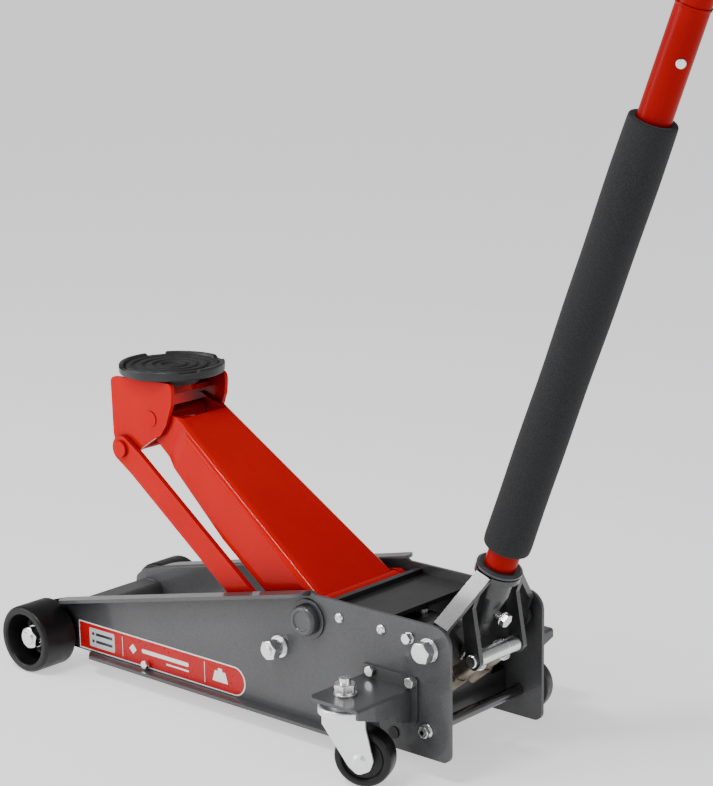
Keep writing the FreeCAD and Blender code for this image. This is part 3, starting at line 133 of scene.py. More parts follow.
def material(name, color, rough=0.4, metallic=0.0, spec=0.5, coat=0.0, coat_rough=0.06, sheen=0.0):
    """A node material with its Principled shader set up; returns the material."""
    mt = bpy.data.materials.new(name)
    mt.use_nodes = True
    nt = mt.node_tree
    bs = nt.nodes["Principled BSDF"]
    bs.inputs["Base Color"].default_value = (*color, 1)
    bs.inputs["Roughness"].default_value = rough
    bs.inputs["Metallic"].default_value = metallic
    bs.inputs["Specular IOR Level"].default_value = spec
    bs.inputs["Coat Weight"].default_value = coat
    bs.inputs["Coat Roughness"].default_value = coat_rough
    bs.inputs["Sheen Weight"].default_value = sheen
    mt["shader"] = bs.name
    return mt


def coords(nt):
    n = nt.nodes.new("ShaderNodeTexCoord")
    return n.outputs["Object"]


def noise(nt, scale, detail=4.0, rough=0.5, vec=None, dist=0.0):
    n = nt.nodes.new("ShaderNodeTexNoise")
    n.inputs["Scale"].default_value = scale
    n.inputs["Detail"].default_value = detail
    n.inputs["Roughness"].default_value = rough
    n.inputs["Distortion"].default_value = dist
    nt.links.new(vec or coords(nt), n.inputs["Vector"])
    return n.outputs["Fac"]


def voronoi(nt, scale, vec=None, feature="F1", out="Distance", rand=1.0):
    n = nt.nodes.new("ShaderNodeTexVoronoi")
    n.feature = feature
    n.inputs["Scale"].default_value = scale
    n.inputs["Randomness"].default_value = rand
    nt.links.new(vec or coords(nt), n.inputs["Vector"])
    return n.outputs[out]


def rng(nt, sock, a, b, lo=0.0, hi=1.0):
    n = nt.nodes.new("ShaderNodeMapRange")
    n.inputs["From Min"].default_value, n.inputs["From Max"].default_value = lo, hi
    n.inputs["To Min"].default_value, n.inputs["To Max"].default_value = a, b
    nt.links.new(sock, n.inputs["Value"])
    return n.outputs[0]


def mixc(nt, fac, a, b):
    n = nt.nodes.new("ShaderNodeMix")
    n.data_type = "RGBA"
    for key, v in (("A", a), ("B", b)):
        s = [i for i in n.inputs if i.name == key and i.type == "RGBA"][0]
        if isinstance(v, tuple):
            s.default_value = (*v, 1)
        else:
            nt.links.new(v, s)
    nt.links.new(fac, n.inputs["Factor"])
    return [o for o in n.outputs if o.type == "RGBA"][0]


def bump(nt, height, strength, dist, normal=None):
    n = nt.nodes.new("ShaderNodeBump")
    n.inputs["Strength"].default_value = strength
    n.inputs["Distance"].default_value = dist
    nt.links.new(height, n.inputs["Height"])
    if normal:
        nt.links.new(normal, n.inputs["Normal"])
    return n.outputs["Normal"]


def stretch(nt, sx, sy, sz):
    mp = nt.nodes.new("ShaderNodeMapping")
    mp.inputs["Scale"].default_value = (sx, sy, sz)
    nt.links.new(coords(nt), mp.inputs["Vector"])
    return mp.outputs[0]


def painted_corner_shade(nt, col, painted_shade_color, reach):
    """Painted shade: the colour darkens towards a near-black tone where walls stand close together, standing in for
    shadow in crevices.
    """
    ao = nt.nodes.new("ShaderNodeAmbientOcclusion")
    ao.samples = 6
    ao.inputs["Distance"].default_value = reach
    return mixc(nt, rng(nt, ao.outputs["AO"], 0.0, 1.0, 0.25, 0.8), painted_shade_color, col)


def enamel(name, color, dark, rough=0.22, flake=0.0, coat=0.6, peel=0.05, spec=0.5):
    """Gloss enamel: slow colour drift, orange peel, faint rub marks, painted shade in close corners and, if asked,
    metal flake.
    """
    mt = material(name, color, rough, 0.0, spec, coat)
    nt = mt.node_tree
    bs = nt.nodes["Principled BSDF"]
    drift = rng(nt, noise(nt, 9.0, 3.0), 0.0, 1.0, 0.35, 0.68)
    col = mixc(nt, drift, dark, color)
    if flake:
        spark = rng(nt, voronoi(nt, 2600.0, out="Color"), 0.0, flake, 0.55, 1.0)
        col = mixc(nt, spark, col, tuple(min(1.0, c * 2.6 + 0.1) for c in color))
    # painted shade: the enamel darkens where walls stand close together, such as between the bracket ears under the
    # saddle
    col = painted_corner_shade(nt, col, tuple(c * 0.16 for c in dark), 0.07)
    nt.links.new(col, bs.inputs["Base Color"])
    rub = rng(nt, noise(nt, 22.0, 4.0, 0.55), rough - 0.03, rough + 0.05, 0.3, 0.75)
    nt.links.new(rub, bs.inputs["Roughness"])
    nt.links.new(bump(nt, noise(nt, 620.0, 2.0), peel, 0.0006), bs.inputs["Normal"])
    return mt


M = {}
M["red"] = enamel("red_enamel", (0.56, 0.0008, 0.0008), (0.5, 0.0006, 0.0006), 0.17, coat=0.13, peel=0.02, spec=0.04)
M["tube_red"] = enamel("tube_red_enamel", (0.33, 0.0008, 0.0008), (0.27, 0.0006, 0.0006), 0.3, coat=0.05, peel=0.05, spec=0.05)
M["grey"] = enamel("grey_enamel", (0.058, 0.059, 0.062), (0.047, 0.048, 0.051), 0.36, flake=0.35, coat=0.3, peel=0.08, spec=0.35)
M["yoke"] = enamel("yoke_enamel", (0.019, 0.02, 0.0215), (0.013, 0.0135, 0.015), 0.3, flake=0.5, coat=0.28, peel=0.25)
M["grey_dark"] = enamel("grey_dark_enamel", (0.017, 0.0175, 0.0185), (0.013, 0.013, 0.014), 0.38, flake=0.25, coat=0.2, peel=0.08, spec=0.35)


def zinc(name, color, rough=0.26, tint=(0.80, 0.78, 0.70), brushed=False):
    mt = material(name, color, rough, 1.0)
    nt = mt.node_tree
    bs = nt.nodes["Principled BSDF"]
    f = rng(nt, noise(nt, 45.0, 3.0, 0.5), 0.0, 0.4, 0.35, 0.8)
    nt.links.new(mixc(nt, f, color, tint), bs.inputs["Base Color"])
    vec = stretch(nt, 12.0, 12.0, 700.0) if brushed else None
    r = rng(nt, noise(nt, 1.0 if brushed else 60.0, 4.0, 0.5, vec), rough - 0.03, rough + 0.06, 0.3, 0.75)
    nt.links.new(r, bs.inputs["Roughness"])
    nt.links.new(bump(nt, noise(nt, 700.0, 2.0), 0.03, 0.0003), bs.inputs["Normal"])
    return mt


M["zinc"] = zinc("zinc_plate", (0.82, 0.83, 0.85))
M["fork"] = zinc("fork_zinc", (0.86, 0.87, 0.89), 0.42, (0.8, 0.8, 0.8))
M["steel"] = zinc("ground_steel", (0.42, 0.42, 0.43), 0.26, (0.45, 0.44, 0.42), True)
M["rod"] = zinc("blackened_steel", (0.14, 0.14, 0.145), 0.24, (0.1, 0.1, 0.1))
M["brass"] = zinc("oiled_brass", (0.36, 0.31, 0.25), 0.36, (0.33, 0.28, 0.22))


def plastic(name, color, rough, scale=420.0, strength=0.12, spec=0.45, lighter=None):
    mt = material(name, color, rough, 0.0, spec)
    nt = mt.node_tree
    bs = nt.nodes["Principled BSDF"]
    f = rng(nt, noise(nt, 40.0, 5.0), 0.0, 1.0, 0.35, 0.7)
    nt.links.new(mixc(nt, f, color, lighter or tuple(c * 1.5 for c in color)), bs.inputs["Base Color"])
    nt.links.new(rng(nt, noise(nt, 130.0, 4.0), rough - 0.06, rough + 0.1, 0.35, 0.7), bs.inputs["Roughness"])
    nt.links.new(bump(nt, noise(nt, scale, 4.0, 0.6), strength, 0.0005), bs.inputs["Normal"])
    return mt


M["black"] = plastic("black_wheel", (0.0045, 0.0045, 0.005), 0.36, spec=0.3)
M["rubber"] = plastic("saddle_rubber", (0.014, 0.014, 0.015), 0.62, 700.0, 0.3, spec=0.3)
M["grip"] = plastic("grip_rubber", (0.02, 0.02, 0.021), 0.6, 800.0, 0.25)
M["iron"] = plastic("saddle_iron", (0.016, 0.0165, 0.018), 0.42, 520.0, 0.3, spec=0.35)


def foam_material():
    mt = material("sleeve_foam", (0.012, 0.012, 0.013), 0.88, 0.0, 0.2, sheen=0.05)
    nt = mt.node_tree
    bs = nt.nodes["Principled BSDF"]
    bs.inputs["Sheen Roughness"].default_value = 0.6
    cells = voronoi(nt, 900.0)
    col = mixc(nt, rng(nt, cells, 0.0, 1.0, 0.1, 0.7), (0.006, 0.006, 0.0066), (0.02, 0.0205, 0.022))
    slow = rng(nt, noise(nt, 16.0, 4.0), 0.0, 0.45, 0.4, 0.7)
    nt.links.new(mixc(nt, slow, col, (0.018, 0.0185, 0.02)), bs.inputs["Base Color"])
    n1 = bump(nt, cells, 0.35, 0.0006)
    nt.links.new(bump(nt, noise(nt, 120.0, 5.0), 0.25, 0.001, n1), bs.inputs["Normal"])
    return mt


M["foam"] = foam_material()


def print_ink(name, color, rough=0.3, spec=0.45):
    mt = material(name, color, rough, 0.0, spec, 0.12)
    nt = mt.node_tree
    bs = nt.nodes["Principled BSDF"]
    f = rng(nt, noise(nt, 30.0, 3.0), 0.0, 1.0, 0.35, 0.7)
    nt.links.new(mixc(nt, f, color, tuple(min(1, c * 0.9) for c in color)), bs.inputs["Base Color"])
    nt.links.new(rng(nt, noise(nt, 200.0, 3.0), rough - 0.04, rough + 0.08, 0.35, 0.7), bs.inputs["Roughness"])
    return mt


M["label"] = print_ink("label_red", (0.46, 0.003, 0.005), spec=0.2)
M["ink_white"] = print_ink("label_white", (0.86, 0.86, 0.86))
M["ink_black"] = print_ink("label_black", (0.02, 0.02, 0.022))
M["ink_silver"] = print_ink("label_silver", (0.52, 0.53, 0.55))


def floor_material():
    mt = material("pale_floor", (0.88, 0.88, 0.885), 0.6, 0.0, 0.2)
    nt = mt.node_tree
    bs = nt.nodes["Principled BSDF"]
    bs.inputs["Emission Color"].default_value = (1.0, 1.0, 1.0, 1.0)
    bs.inputs["Emission Strength"].default_value = 0.7
    nt.links.new(mixc(nt, rng(nt, noise(nt, 0.4, 2.0), 0, 1, 0.3, 0.7), (0.86, 0.86, 0.865), (0.875, 0.875, 0.88)), bs.inputs["Base Color"])
    return mt


floor.data.materials.append(floor_material())

NODE_MATERIAL = {
    "side_plate_left": "grey", "side_plate_right": "grey", "front_cross_plate": "grey", "deck_plate": "grey_dark",
    "caster_bracket_left": "grey", "caster_bracket_right": "grey", "pump_block": "grey_dark", "reservoir_tube": "grey_dark",
    "handle_yoke": "yoke", "handle_socket": "yoke", "arm_pivot_caps": "grey",
    "lift_arm": "red", "parallel_link_left": "red", "parallel_link_right": "red", "saddle_bracket": "red", "saddle_bracket_pin": "red", "link_front_pin": "red",
    "handle_lower_tube": "tube_red", "handle_upper_tube": "tube_red",
    "caster_fork_left": "fork", "caster_fork_right": "fork", "caster_axle_left": "fork", "caster_axle_right": "fork",
    "arm_pivot_shaft": "steel", "arm_thrust_pin": "steel", "ram_rod": "steel", "ram_head": "steel", "ram_cylinder": "steel", "cylinder_gland": "steel",
    "release_spindle": "steel", "pump_plungers": "zinc", "plate_plugs": "black", "tie_rod": "rod", "pump_barrels": "brass",
    "front_wheel_left": "black", "front_wheel_right": "black", "caster_wheel_left": "black", "caster_wheel_right": "black",
    "saddle_cup": "iron", "saddle_pad": "rubber", "foam_sleeve": "foam", "handle_grip": "grip", "label_plates": "label",
}
for name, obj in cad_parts.items():
    node_obj = obj if isinstance(obj, bpy.types.Object) else bpy.data.objects.get(name)
    if node_obj is None:
        continue
    node_obj.data.materials.clear()
    node_obj.data.materials.append(M[NODE_MATERIAL.get(name, "zinc")])

# ------------------------------------------------------------------ mesh helpers


def add(name, verts, faces, mat, body, replaces=(), smooth=True, angle=40.0, mats=None, face_mats=None):
    me = bpy.data.meshes.new(name)
    me.from_pydata([tuple(v) for v in verts], [], faces)
    me.validate()
    for k in (mats or [mat]):
        me.materials.append(M[k])
    if face_mats:
        for p, i in zip(me.polygons, face_mats):
            p.material_index = i
    bm = bmesh.new()
    bm.from_mesh(me)
    bmesh.ops.remove_doubles(bm, verts=bm.verts, dist=1e-7)
    bmesh.ops.recalc_face_normals(bm, faces=bm.faces)
    if smooth:
        for f in bm.faces:
            f.smooth = True
        for e in bm.edges:
            if len(e.link_faces) == 2 and e.calc_face_angle(0.0) > math.radians(angle):
                e.smooth = False
    bm.to_mesh(me)
    bm.free()
    ob = bpy.data.objects.new(name, me)
    bpy.context.collection.objects.link(ob)
    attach(ob, body)
    if replaces:
        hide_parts(*replaces)
    return ob


def basis(axis):
    z = Vector(axis).normalized()
    x = z.orthogonal().normalized()
    if abs(z.z) < 0.95:
        x = ZUP.cross(z).normalized()
    return x, z.cross(x), z


def round_profile(pts, radius, steps=4):
    """Round the corners of a closed (radius, height) profile; pts are (r, h) or (r, h, corner radius)."""
    out = []
    n = len(pts)
    for i, p in enumerate(pts):
        rad = p[2] if len(p) > 2 else radius
        a = Vector((pts[i - 1][0], pts[i - 1][1]))
        b = Vector((p[0], p[1]))
        c = Vector((pts[(i + 1) % n][0], pts[(i + 1) % n][1]))
        u, v = a - b, c - b
        la, lc = u.length, v.length
        if rad <= 0 or la < 1e-6 or lc < 1e-6 or p[0] <= 1e-6:
            out.append(b)
            continue
        u, v = u / la, v / lc
        cut = min(rad, la * 0.45, lc * 0.45)
        p0, p1 = b + u * cut, b + v * cut
        for k in range(steps + 1):
            t = k / steps
            out.append(p0 * (1 - t) ** 2 + b * 2 * t * (1 - t) + p1 * t ** 2)
    return out


def lathe_mesh(profile, centre, axis, segs=96, shape=None):
    """Closed profile of (radius, height) in mm turned about axis through centre (frame metres)."""
    x, y, z = basis(axis)
    verts, faces = [], []
    n = len(profile)
    for s in range(segs):
        a = 2 * math.pi * s / segs
        d = x * math.cos(a) + y * math.sin(a)
        for k, p in enumerate(profile):
            r, h = p[0], p[1]
            if shape:
                r, h = shape(r, h, a, k)
            verts.append(centre + d * (r / 1000.0) + z * (h / 1000.0))
    for s in range(segs):
        t = (s + 1) % segs
        for k in range(n):
            j = (k + 1) % n
            faces.append((s * n + k, t * n + k, t * n + j, s * n + j))
    return verts, faces


def merge(parts):
    verts, faces = [], []
    for v, f in parts:
        o = len(verts)
        verts += v
        faces += [tuple(i + o for i in q) for q in f]
    return verts, faces


def hex_mesh(base, axis, af, height, turn=0.0, hole=0.0, segs=48, flange=0.0, both=False):
    """A hexagon head or nut with the turned chamfer of a real one. Sizes in mm; base is the seat's centre."""
    x, y, z = basis(axis)
    R = af / math.sqrt(3.0)
    top_r = af * 0.475

    def hexr(a):
        a = (a - math.radians(turn)) % (math.pi / 3) - math.pi / 6
        return (af / 2.0) / math.cos(a)

    levels = []
    chamfer = (R - top_r) * 0.55
    for f, kind in ((0.0, "low"), (0.12, "full"), (0.5, "full"), (0.8, "full"), (0.9, "top"), (1.0, "cap")):
        levels.append((f, kind))
    rows = []
    seg_angles = [2 * math.pi * s / segs for s in range(segs)]
    hs = [0.0, 0.35, 0.0, 0.0]
    def level(h, limit, shrink=1.0):
        return [(min(hexr(a), limit) * shrink, h) for a in seg_angles]
    drop = [max(0.0, hexr(a) - top_r) * 0.55 for a in seg_angles]
    rows.append([(min(hexr(a), af * 0.5), 0.0) for a in seg_angles] if both else [(hexr(a) - 0.25, 0.0) for a in seg_angles])
    rows.append([(hexr(a), (drop[i] if both else 0.25)) for i, a in enumerate(seg_angles)])
    rows.append([(hexr(a), height * 0.5) for a in seg_angles])
    rows.append([(hexr(a), height - drop[i]) for i, a in enumerate(seg_angles)])
    rows.append([(top_r, height) for a in seg_angles])
    inner = max(hole, 0.01)
    rows.append([(inner, height - (0.0 if hole else 0.0)) for a in seg_angles])
    if hole:
        rows.append([(inner, 0.0) for a in seg_angles])
    verts, faces = [], []
    for row in rows:
        for a, (r, h) in zip(seg_angles, row):
            verts.append(base + (x * math.cos(a) + y * math.sin(a)) * (r / 1000.0) + z * (h / 1000.0))
    n = segs
    count = len(rows)
    for k in range(count - 1):
        for s in range(n):
            t = (s + 1) % n
            faces.append((k * n + s, k * n + t, (k + 1) * n + t, (k + 1) * n + s))
    if hole:
        k = count - 1
        for s in range(n):
            t = (s + 1) % n
            faces.append((k * n + s, k * n + t, t, s))
    else:
        faces.append(tuple(range(n))[::-1])
        faces.append(tuple((count - 1) * n + s for s in range(n)))
    return verts, faces


def washer_mesh(base, axis, r_out, r_in, h, segs=64):
    prof = round_profile([(r_in, 0), (r_out, 0), (r_out, h), (r_in, h)], 0.45, 3)
    return lathe_mesh(prof, base, axis, segs)


def thread_mesh(base, axis, r, length, pitch=1.5, segs=40, tip=1.2):
    """A threaded stud end: a helical ridge on a shank with a chamfered tip."""
    x, y, z = basis(axis)
    rows = max(4, int(length / pitch * 6))
    verts, faces = [], []
    for i in range(rows + 1):
        h = length * i / rows
        for s in range(segs):
            a = 2 * math.pi * s / segs
            ph = ((h / pitch) - s / segs) % 1.0
            ridge = abs(ph - 0.5) * 2.0
            rr = r - 0.55 * (pitch / 1.5) * ridge
            over = h - (length - tip)
            if over > 0:
                rr = min(rr, r - over * 0.9)
            verts.append(base + (x * math.cos(a) + y * math.sin(a)) * (rr / 1000.0) + z * (h / 1000.0))
    for i in range(rows):
        for s in range(segs):
            t = (s + 1) % segs
            faces.append((i * segs + s, i * segs + t, (i + 1) * segs + t, (i + 1) * segs + s))
    faces.append(tuple(range(segs))[::-1])
    faces.append(tuple(rows * segs + s for s in range(segs)))
    return verts, faces


def bead_mesh(path, radius, normal_fn=None, closed=False, ripple=0.22, step=1.1, segs=10):
    """A weld bead: a tube along path (frame metres) whose section swells in overlapping ripples. Sizes in mm."""
    pts = [Vector(p) for p in path]
    if closed:
        pts = pts + [pts[0]]
    lens = [0.0]
    for a, b in zip(pts, pts[1:]):
        lens.append(lens[-1] + (b - a).length)
    total = lens[-1]
    n = max(6, int(total * 1000.0 / step * 2))
    rnd = random.Random(int(total * 1e6) % 9973)
    verts, faces = [], []
    centres = []
    for i in range(n + (0 if closed else 1)):
        d = total * i / n
        k = 0
        while k < len(lens) - 2 and lens[k + 1] < d:
            k += 1
        t = (d - lens[k]) / max(1e-9, lens[k + 1] - lens[k])
        centres.append((pts[k].lerp(pts[k + 1], t), (pts[k + 1] - pts[k]).normalized(), d))
    m_ = len(centres)
    for i, (c, tan, d) in enumerate(centres):
        x = tan.orthogonal().normalized() if abs(tan.z) > 0.95 else ZUP.cross(tan).normalized()
        y = tan.cross(x)
        ph = (d * 1000.0 / (step * 2.0)) % 1.0
        r = radius * (1.0 - ripple * ph + rnd.uniform(-0.04, 0.04))
        if not closed:
            r *= min(1.0, (min(d, total - d) * 1000.0 + 0.4) / 2.0)
        for s in range(segs):
            a = 2 * math.pi * s / segs
            verts.append(c + (x * math.cos(a) + y * math.sin(a)) * (r / 1000.0))
    for i in range(m_ if closed else m_ - 1):
        j = (i + 1) % m_
        for s in range(segs):
            t = (s + 1) % segs
            faces.append((i * segs + s, i * segs + t, j * segs + t, j * segs + s))
    if not closed:
        faces.append(tuple(range(segs))[::-1])
        faces.append(tuple((m_ - 1) * segs + s for s in range(segs)))
    return verts, faces


def ring_path(centre, axis, r, n=48, a0=0.0, a1=2 * math.pi):
    x, y, z = basis(axis)
    k = n if abs(a1 - a0 - 2 * math.pi) < 1e-6 else n + 1
    return [centre + (x * math.cos(a0 + (a1 - a0) * i / n) + y * math.sin(a0 + (a1 - a0) * i / n)) * (r / 1000.0) for i in range(k)]


# ------------------------------------------------------------------ main lines of the jack (chassis mm)
LEAN = math.radians(21.0)
HZ = Vector((-math.sin(LEAN), 0.0, math.cos(LEAN)))
HX = Vector((math.cos(LEAN), 0.0, math.sin(LEAN)))
PIVOT = P(-259.0, 0.0, 142.0)
PHI = math.radians(32.3196)
AU = Vector((math.cos(PHI), 0, math.sin(PHI)))
AN = Vector((-math.sin(PHI), 0, math.cos(PHI)))
A0 = P(-94.0, 0, 140.0)
C0 = P(-50.5, 0, 99.5)
B0 = A0 + AU * 0.318905
D0 = C0 + AU * 0.318905
YV = Vector((0, 1, 0))


def on_handle(a, b=0.0, y=0.0):
    return PIVOT + HZ * (a / 1000.0) + HX * (b / 1000.0) + YV * (y / 1000.0)


# ------------------------------------------------------------------ foam sleeve: its own soft form
def foam_shape(r, h, a, k):
    if r > 20.0:
        wob = 0.35 * math.sin(h / 61.0 + 1.3 * math.cos(a)) + 0.22 * math.sin(h / 23.0 + 2.0 * a)
        r = r + wob - 0.35
    return r, h


prof = [(17.15, 104.6, 1.2), (24.3, 104.2, 2.6)]
for i in range(1, 60):
    prof.append((25.1, 104.0 + 473.4 * i / 60.0, 0))
prof += [(24.9, 577.3, 2.4), (17.3, 576.6, 1.6)]
prof = [prof[0], prof[1]] + prof[2:]
pts = round_profile(prof, 0.0, 5)
v, f = lathe_mesh(pts, PIVOT, HZ, 96, foam_shape)
sleeve = add("foam_sleeve_soft", v, f, "foam", "handle", ("foam_sleeve",), angle=70)

# ------------------------------------------------------------------ rear grip: ribbed moulded rubber
gs, ge = 1098.0, 1228.0
gp = [(17.15, gs, 0.3), (21.6, gs, 1.2), (22.4, gs + 4, 1.5), (20.8, gs + 9, 1.0)]
for i in range(14):
    h0 = gs + 12 + i * 7.6
    gp += [(20.9, h0, 0.8), (20.9, h0 + 4.6, 0.8), (19.9, h0 + 5.4, 0.5), (19.9, h0 + 6.8, 0.5)]
gp += [(20.8, ge - 5, 0.5), (19.8, ge + 1.8, 2.5), (14.0, ge + 4.4, 2.0), (0.01, ge + 4.5, 0), (0.01, ge + 0.4, 0), (17.15, ge + 0.4, 0)]
v, f = lathe_mesh(round_profile(gp, 0.5, 3), PIVOT, HZ, 72)
add("handle_grip_ribbed", v, f, "grip", "handle", ("handle_grip",))

# ------------------------------------------------------------------ front wheels
for side, sgn in (("left", 1), ("right", -1)):
    R, w = 39.9, 47.4
    wp = [(10.05, -4.4, 0.2), (17.0, -4.4, 0.8), (17.0, 1.4, 0.6), (30.5, 1.4, 0.6), (31.5, 0.0, 0.8), (37.4, 0.0, 1.5), (R, 2.8, 1.8),
          (R, w - 2.8, 1.8), (37.6, w, 1.6), (31.6, w, 1.2), (30.2, w - 1.6, 1.0), (29.4, w - 6.0, 0.8), (27.6, w - 30.0, 3.0), (16.6, w - 33.0, 1.5), (15.8, 29.0, 0.8), (13.2, 29.8, 0.5), (12.6, 28.0, 0.3), (10.05, 28.0, 0.2)]
    v, f = lathe_mesh(round_profile(wp, 0.6, 4), P(314.4, sgn * 84.2, 40.0), (0, sgn, 0), 128)
    add("front_wheel_cast_" + side, v, f, "black", "wheel_front_" + side, ("front_wheel_" + side,))

# ------------------------------------------------------------------ caster wheels
for side, sgn, turn in (("left", 1, 21.4), ("right", -1, 16.0)):
    a = math.pi + math.radians(turn)
    tv = Vector((math.cos(a), math.sin(a), 0))
    av = Vector((-math.sin(a), math.cos(a), 0))
    if av.y * sgn < 0:
        av = -av
    c = P(-193.5, sgn * 134.0, 31.3) + tv * 0.0210
    R, h = 31.3, 12.0
    cp = [(5.06, -15.4, 0.2), (9.8, -15.4, 0.6), (9.8, -9.2, 0.8), (21.5, -8.2, 0.8), (22.6, -10.6, 0.8), (24.0, -11.9, 1.0), (28.6, -11.9, 1.6), (30.8, -9.6, 2.0), (R, -5.6, 2.0),
          (R, 5.6, 2.0), (30.8, 9.6, 2.0), (28.6, 11.9, 1.6), (24.0, 11.9, 1.0), (22.6, 10.6, 0.8), (21.5, 8.2, 0.8), (9.8, 9.2, 0.8), (9.8, 15.4, 0.6), (5.06, 15.4, 0.2)]
    v, f = lathe_mesh(round_profile(cp, 0.5, 4), c, av, 96)
    add("caster_wheel_moulded_" + side, v, f, "black", "caster_roller_" + side, ("caster_wheel_" + side,))

# ------------------------------------------------------------------ saddle: notched cup and ringed rubber pad
SC = P(184.7, 0, 0)
R, T = 60.7, 368.0
cup = [(0.01, 335.0, 0), (11.8, 335.0, 1.0), (13.0, 336.4, 0.5), (13.0, 345.3, 0), (31.0, 345.3, 1.0), (34.0, 355.8, 3.0), (R - 3.4, 356.4, 0.8), (R - 0.4, 357.6, 1.4), (R, T - 1.6, 1.4), (R - 1.2, T, 0.6), (R - 5.2, T, 0.8), (R - 6.6, T - 5.8, 0.6), (0.01, T - 6.0, 0)]
cup_prof = round_profile(cup, 0.5, 4)


def notch(r, h, a, k):
    if r > R - 6.9 and h > T - 6.2:
        for q in range(4):
            d = abs((a - math.radians(20.0 + 90 * q) + math.pi) % (2 * math.pi) - math.pi)
            half, soft = math.radians(10.5), math.radians(2.2)
            if d < half + soft:
                t_ = 1.0 if d < half else 1.0 - (d - half) / soft
                t_ = t_ * t_ * (3 - 2 * t_)
                low = T - 3.5
                if h > low:
                    h = h * (1 - t_) + low * t_
    return r, h


v, f = lathe_mesh(cup_prof, SC, ZUP, 240, notch)
add("saddle_cup_cast", v, f, "iron", "saddle", ("saddle_cup",), angle=45)
pr = R - 7.9
pad = [(0.01, T - 5.9, 0), (pr - 1.0, T - 5.9, 0.4), (pr, T - 5.0, 0.4), (pr, T - 3.1, 0.6)]
r_ = pr - 1.0
level_hi, level_lo = T - 2.3, T - 4.3
ringset = [(pr - 1.0, pr - 6.5), (pr - 12.0, pr - 18.5), (pr - 24.0, pr - 30.0), (pr - 36.0, pr - 40.0)]
for outer_r, inner_r in ringset:
    pad += [(outer_r, level_hi, 0.8), (inner_r, level_hi, 0.8), (inner_r - 1.0, level_lo, 0.6)]
    nxt = [o for o, i in ringset if o < inner_r - 1.0]
    if nxt:
        pad += [(nxt[0] + 1.0, level_lo, 0.6)]
pad += [(0.01, level_lo, 0)]
v, f = lathe_mesh(round_profile(pad, 0.5, 3), SC, ZUP, 160)
add("saddle_pad_ringed", v, f, "rubber", "saddle", ("saddle_pad",))

# ------------------------------------------------------------------ bolts, nuts, washers and screws
parts = []
for sgn in (1, -1):
    parts.append(hex_mesh(P(314.4, sgn * 114.7, 40.0), (0, sgn, 0), 24.0, 9.8, 18.0, 7.6, both=True))
    parts.append(washer_mesh(P(314.4, sgn * 112.5, 40.0), (0, sgn, 0), 13.5, 8.1, 2.2))
v, f = merge(parts)
add("axle_nuts_cut", v, f, "zinc", "chassis", ("front_axle_nuts",), angle=25)
parts = []
for sgn in (1, -1):
    parts.append(thread_mesh(P(314.4, sgn * 122.0, 40.0), (0, sgn, 0), 8.0, 4.6, 1.6))
v, f = merge(parts)
add("axle_thread", v, f, "zinc", "chassis", angle=30)

parts = []
CX, CZ = -50.5, 99.5
for sgn in (1, -1):
    parts.append(hex_mesh(P(CX, sgn * 87.8, CZ), (0, sgn, 0), 20.0, 11.0, 14.0, 5.7, both=True))
    parts.append(thread_mesh(P(CX, sgn * 92.0, CZ), (0, sgn, 0), 6.0, 8.8, 1.5))
    parts.append(hex_mesh(P(-256.0, sgn * 80.3, 54.0), (0, sgn, 0), 11.5, 6.0, 5.0, 2.8, both=True))
    parts.append(washer_mesh(P(-256.0, sgn * 79.1, 54.0), (0, sgn, 0), 7.4, 3.1, 1.2))
    parts.append(thread_mesh(P(-256.0, sgn * 83.0, 54.0), (0, sgn, 0), 3.0, 5.0, 1.0))
    parts.append(hex_mesh(P(-193.5, sgn * 134.0, 97.6), ZUP, 21.0, 9.8, 18.0, 5.7, both=True))
    parts.append(thread_mesh(P(-193.5, sgn * 134.0, 100.0), ZUP, 6.0, 13.0, 1.6))
v, f = merge(parts)
add("hex_nuts_cut", v, f, "zinc", "chassis", ("hex_nuts",), angle=25)
parts = []
for sgn in (1, -1):
    parts.append(washer_mesh(P(CX, sgn * 79.05, CZ), (0, sgn, 0), 12.4, 6.1, 2.4))
    parts.append(washer_mesh(P(CX, sgn * 81.5, CZ), (0, sgn, 0), 9.3, 6.1, 3.2))
    parts.append(washer_mesh(P(CX, sgn * 84.9, CZ), (0, sgn, 0), 9.8, 6.1, 2.8))
    parts.append(washer_mesh(P(-193.5, sgn * 134.0, 95.05), ZUP, 12.4, 6.1, 2.4))
v, f = merge(parts)
add("washers_cut", v, f, "zinc", "chassis", ("flat_washers",), angle=30)

parts = []
for sgn in (1, -1):
    y = sgn * 79.0
    parts.append(hex_mesh(P(-232.5, y + sgn * 1.0, 149.0), (0, sgn, 0), 10.5, 5.5, 12.0))
    parts.append(washer_mesh(P(-232.5, y, 149.0), (0, sgn, 0), 6.4, 3.9, 1.0))
    parts.append(hex_mesh(P(159.7, y + sgn * 0.9, 31.2), (0, sgn, 0), 9.0, 6.0, 8.0))
    parts.append(hex_mesh(P(159.7, sgn * 74.9, 31.2), (0, -sgn, 0), 9.0, 4.0, 8.0))
    parts.append(lathe_mesh([(0.01, -15.9), (3.95, -15.9), (3.95, 0.2), (0.01, 0.2)], P(-232.5, y, 149.0), (0, sgn, 0), 32))
    parts.append(lathe_mesh([(0.01, -8.9), (2.95, -8.9), (2.95, 1.0), (0.01, 1.0)], P(159.7, y, 31.2), (0, sgn, 0), 32))
v, f = merge(parts)
add("frame_bolts_cut", v, f, "zinc", "chassis", ("frame_bolts",), angle=25)

parts = []
for sgn in (1, -1):
    for x in (-183.0, -237.0):
        parts.append(hex_mesh(P(x, sgn * 82.0, 103.0), (0, sgn, 0), 10.5, 4.5, 20.0))
        parts.append(hex_mesh(P(x, sgn * 75.0, 103.0), (0, -sgn, 0), 10.0, 4.5, 0.0))
        parts.append(lathe_mesh([(0.01, -9.0), (2.95, -9.0), (2.95, 3.2), (0.01, 3.2)], P(x, sgn * 79.0, 103.0), (0, sgn, 0), 32))
v, f = merge(parts)
add("bracket_bolts_cut", v, f, "zinc", "chassis", ("caster_bracket_bolts",), angle=25)

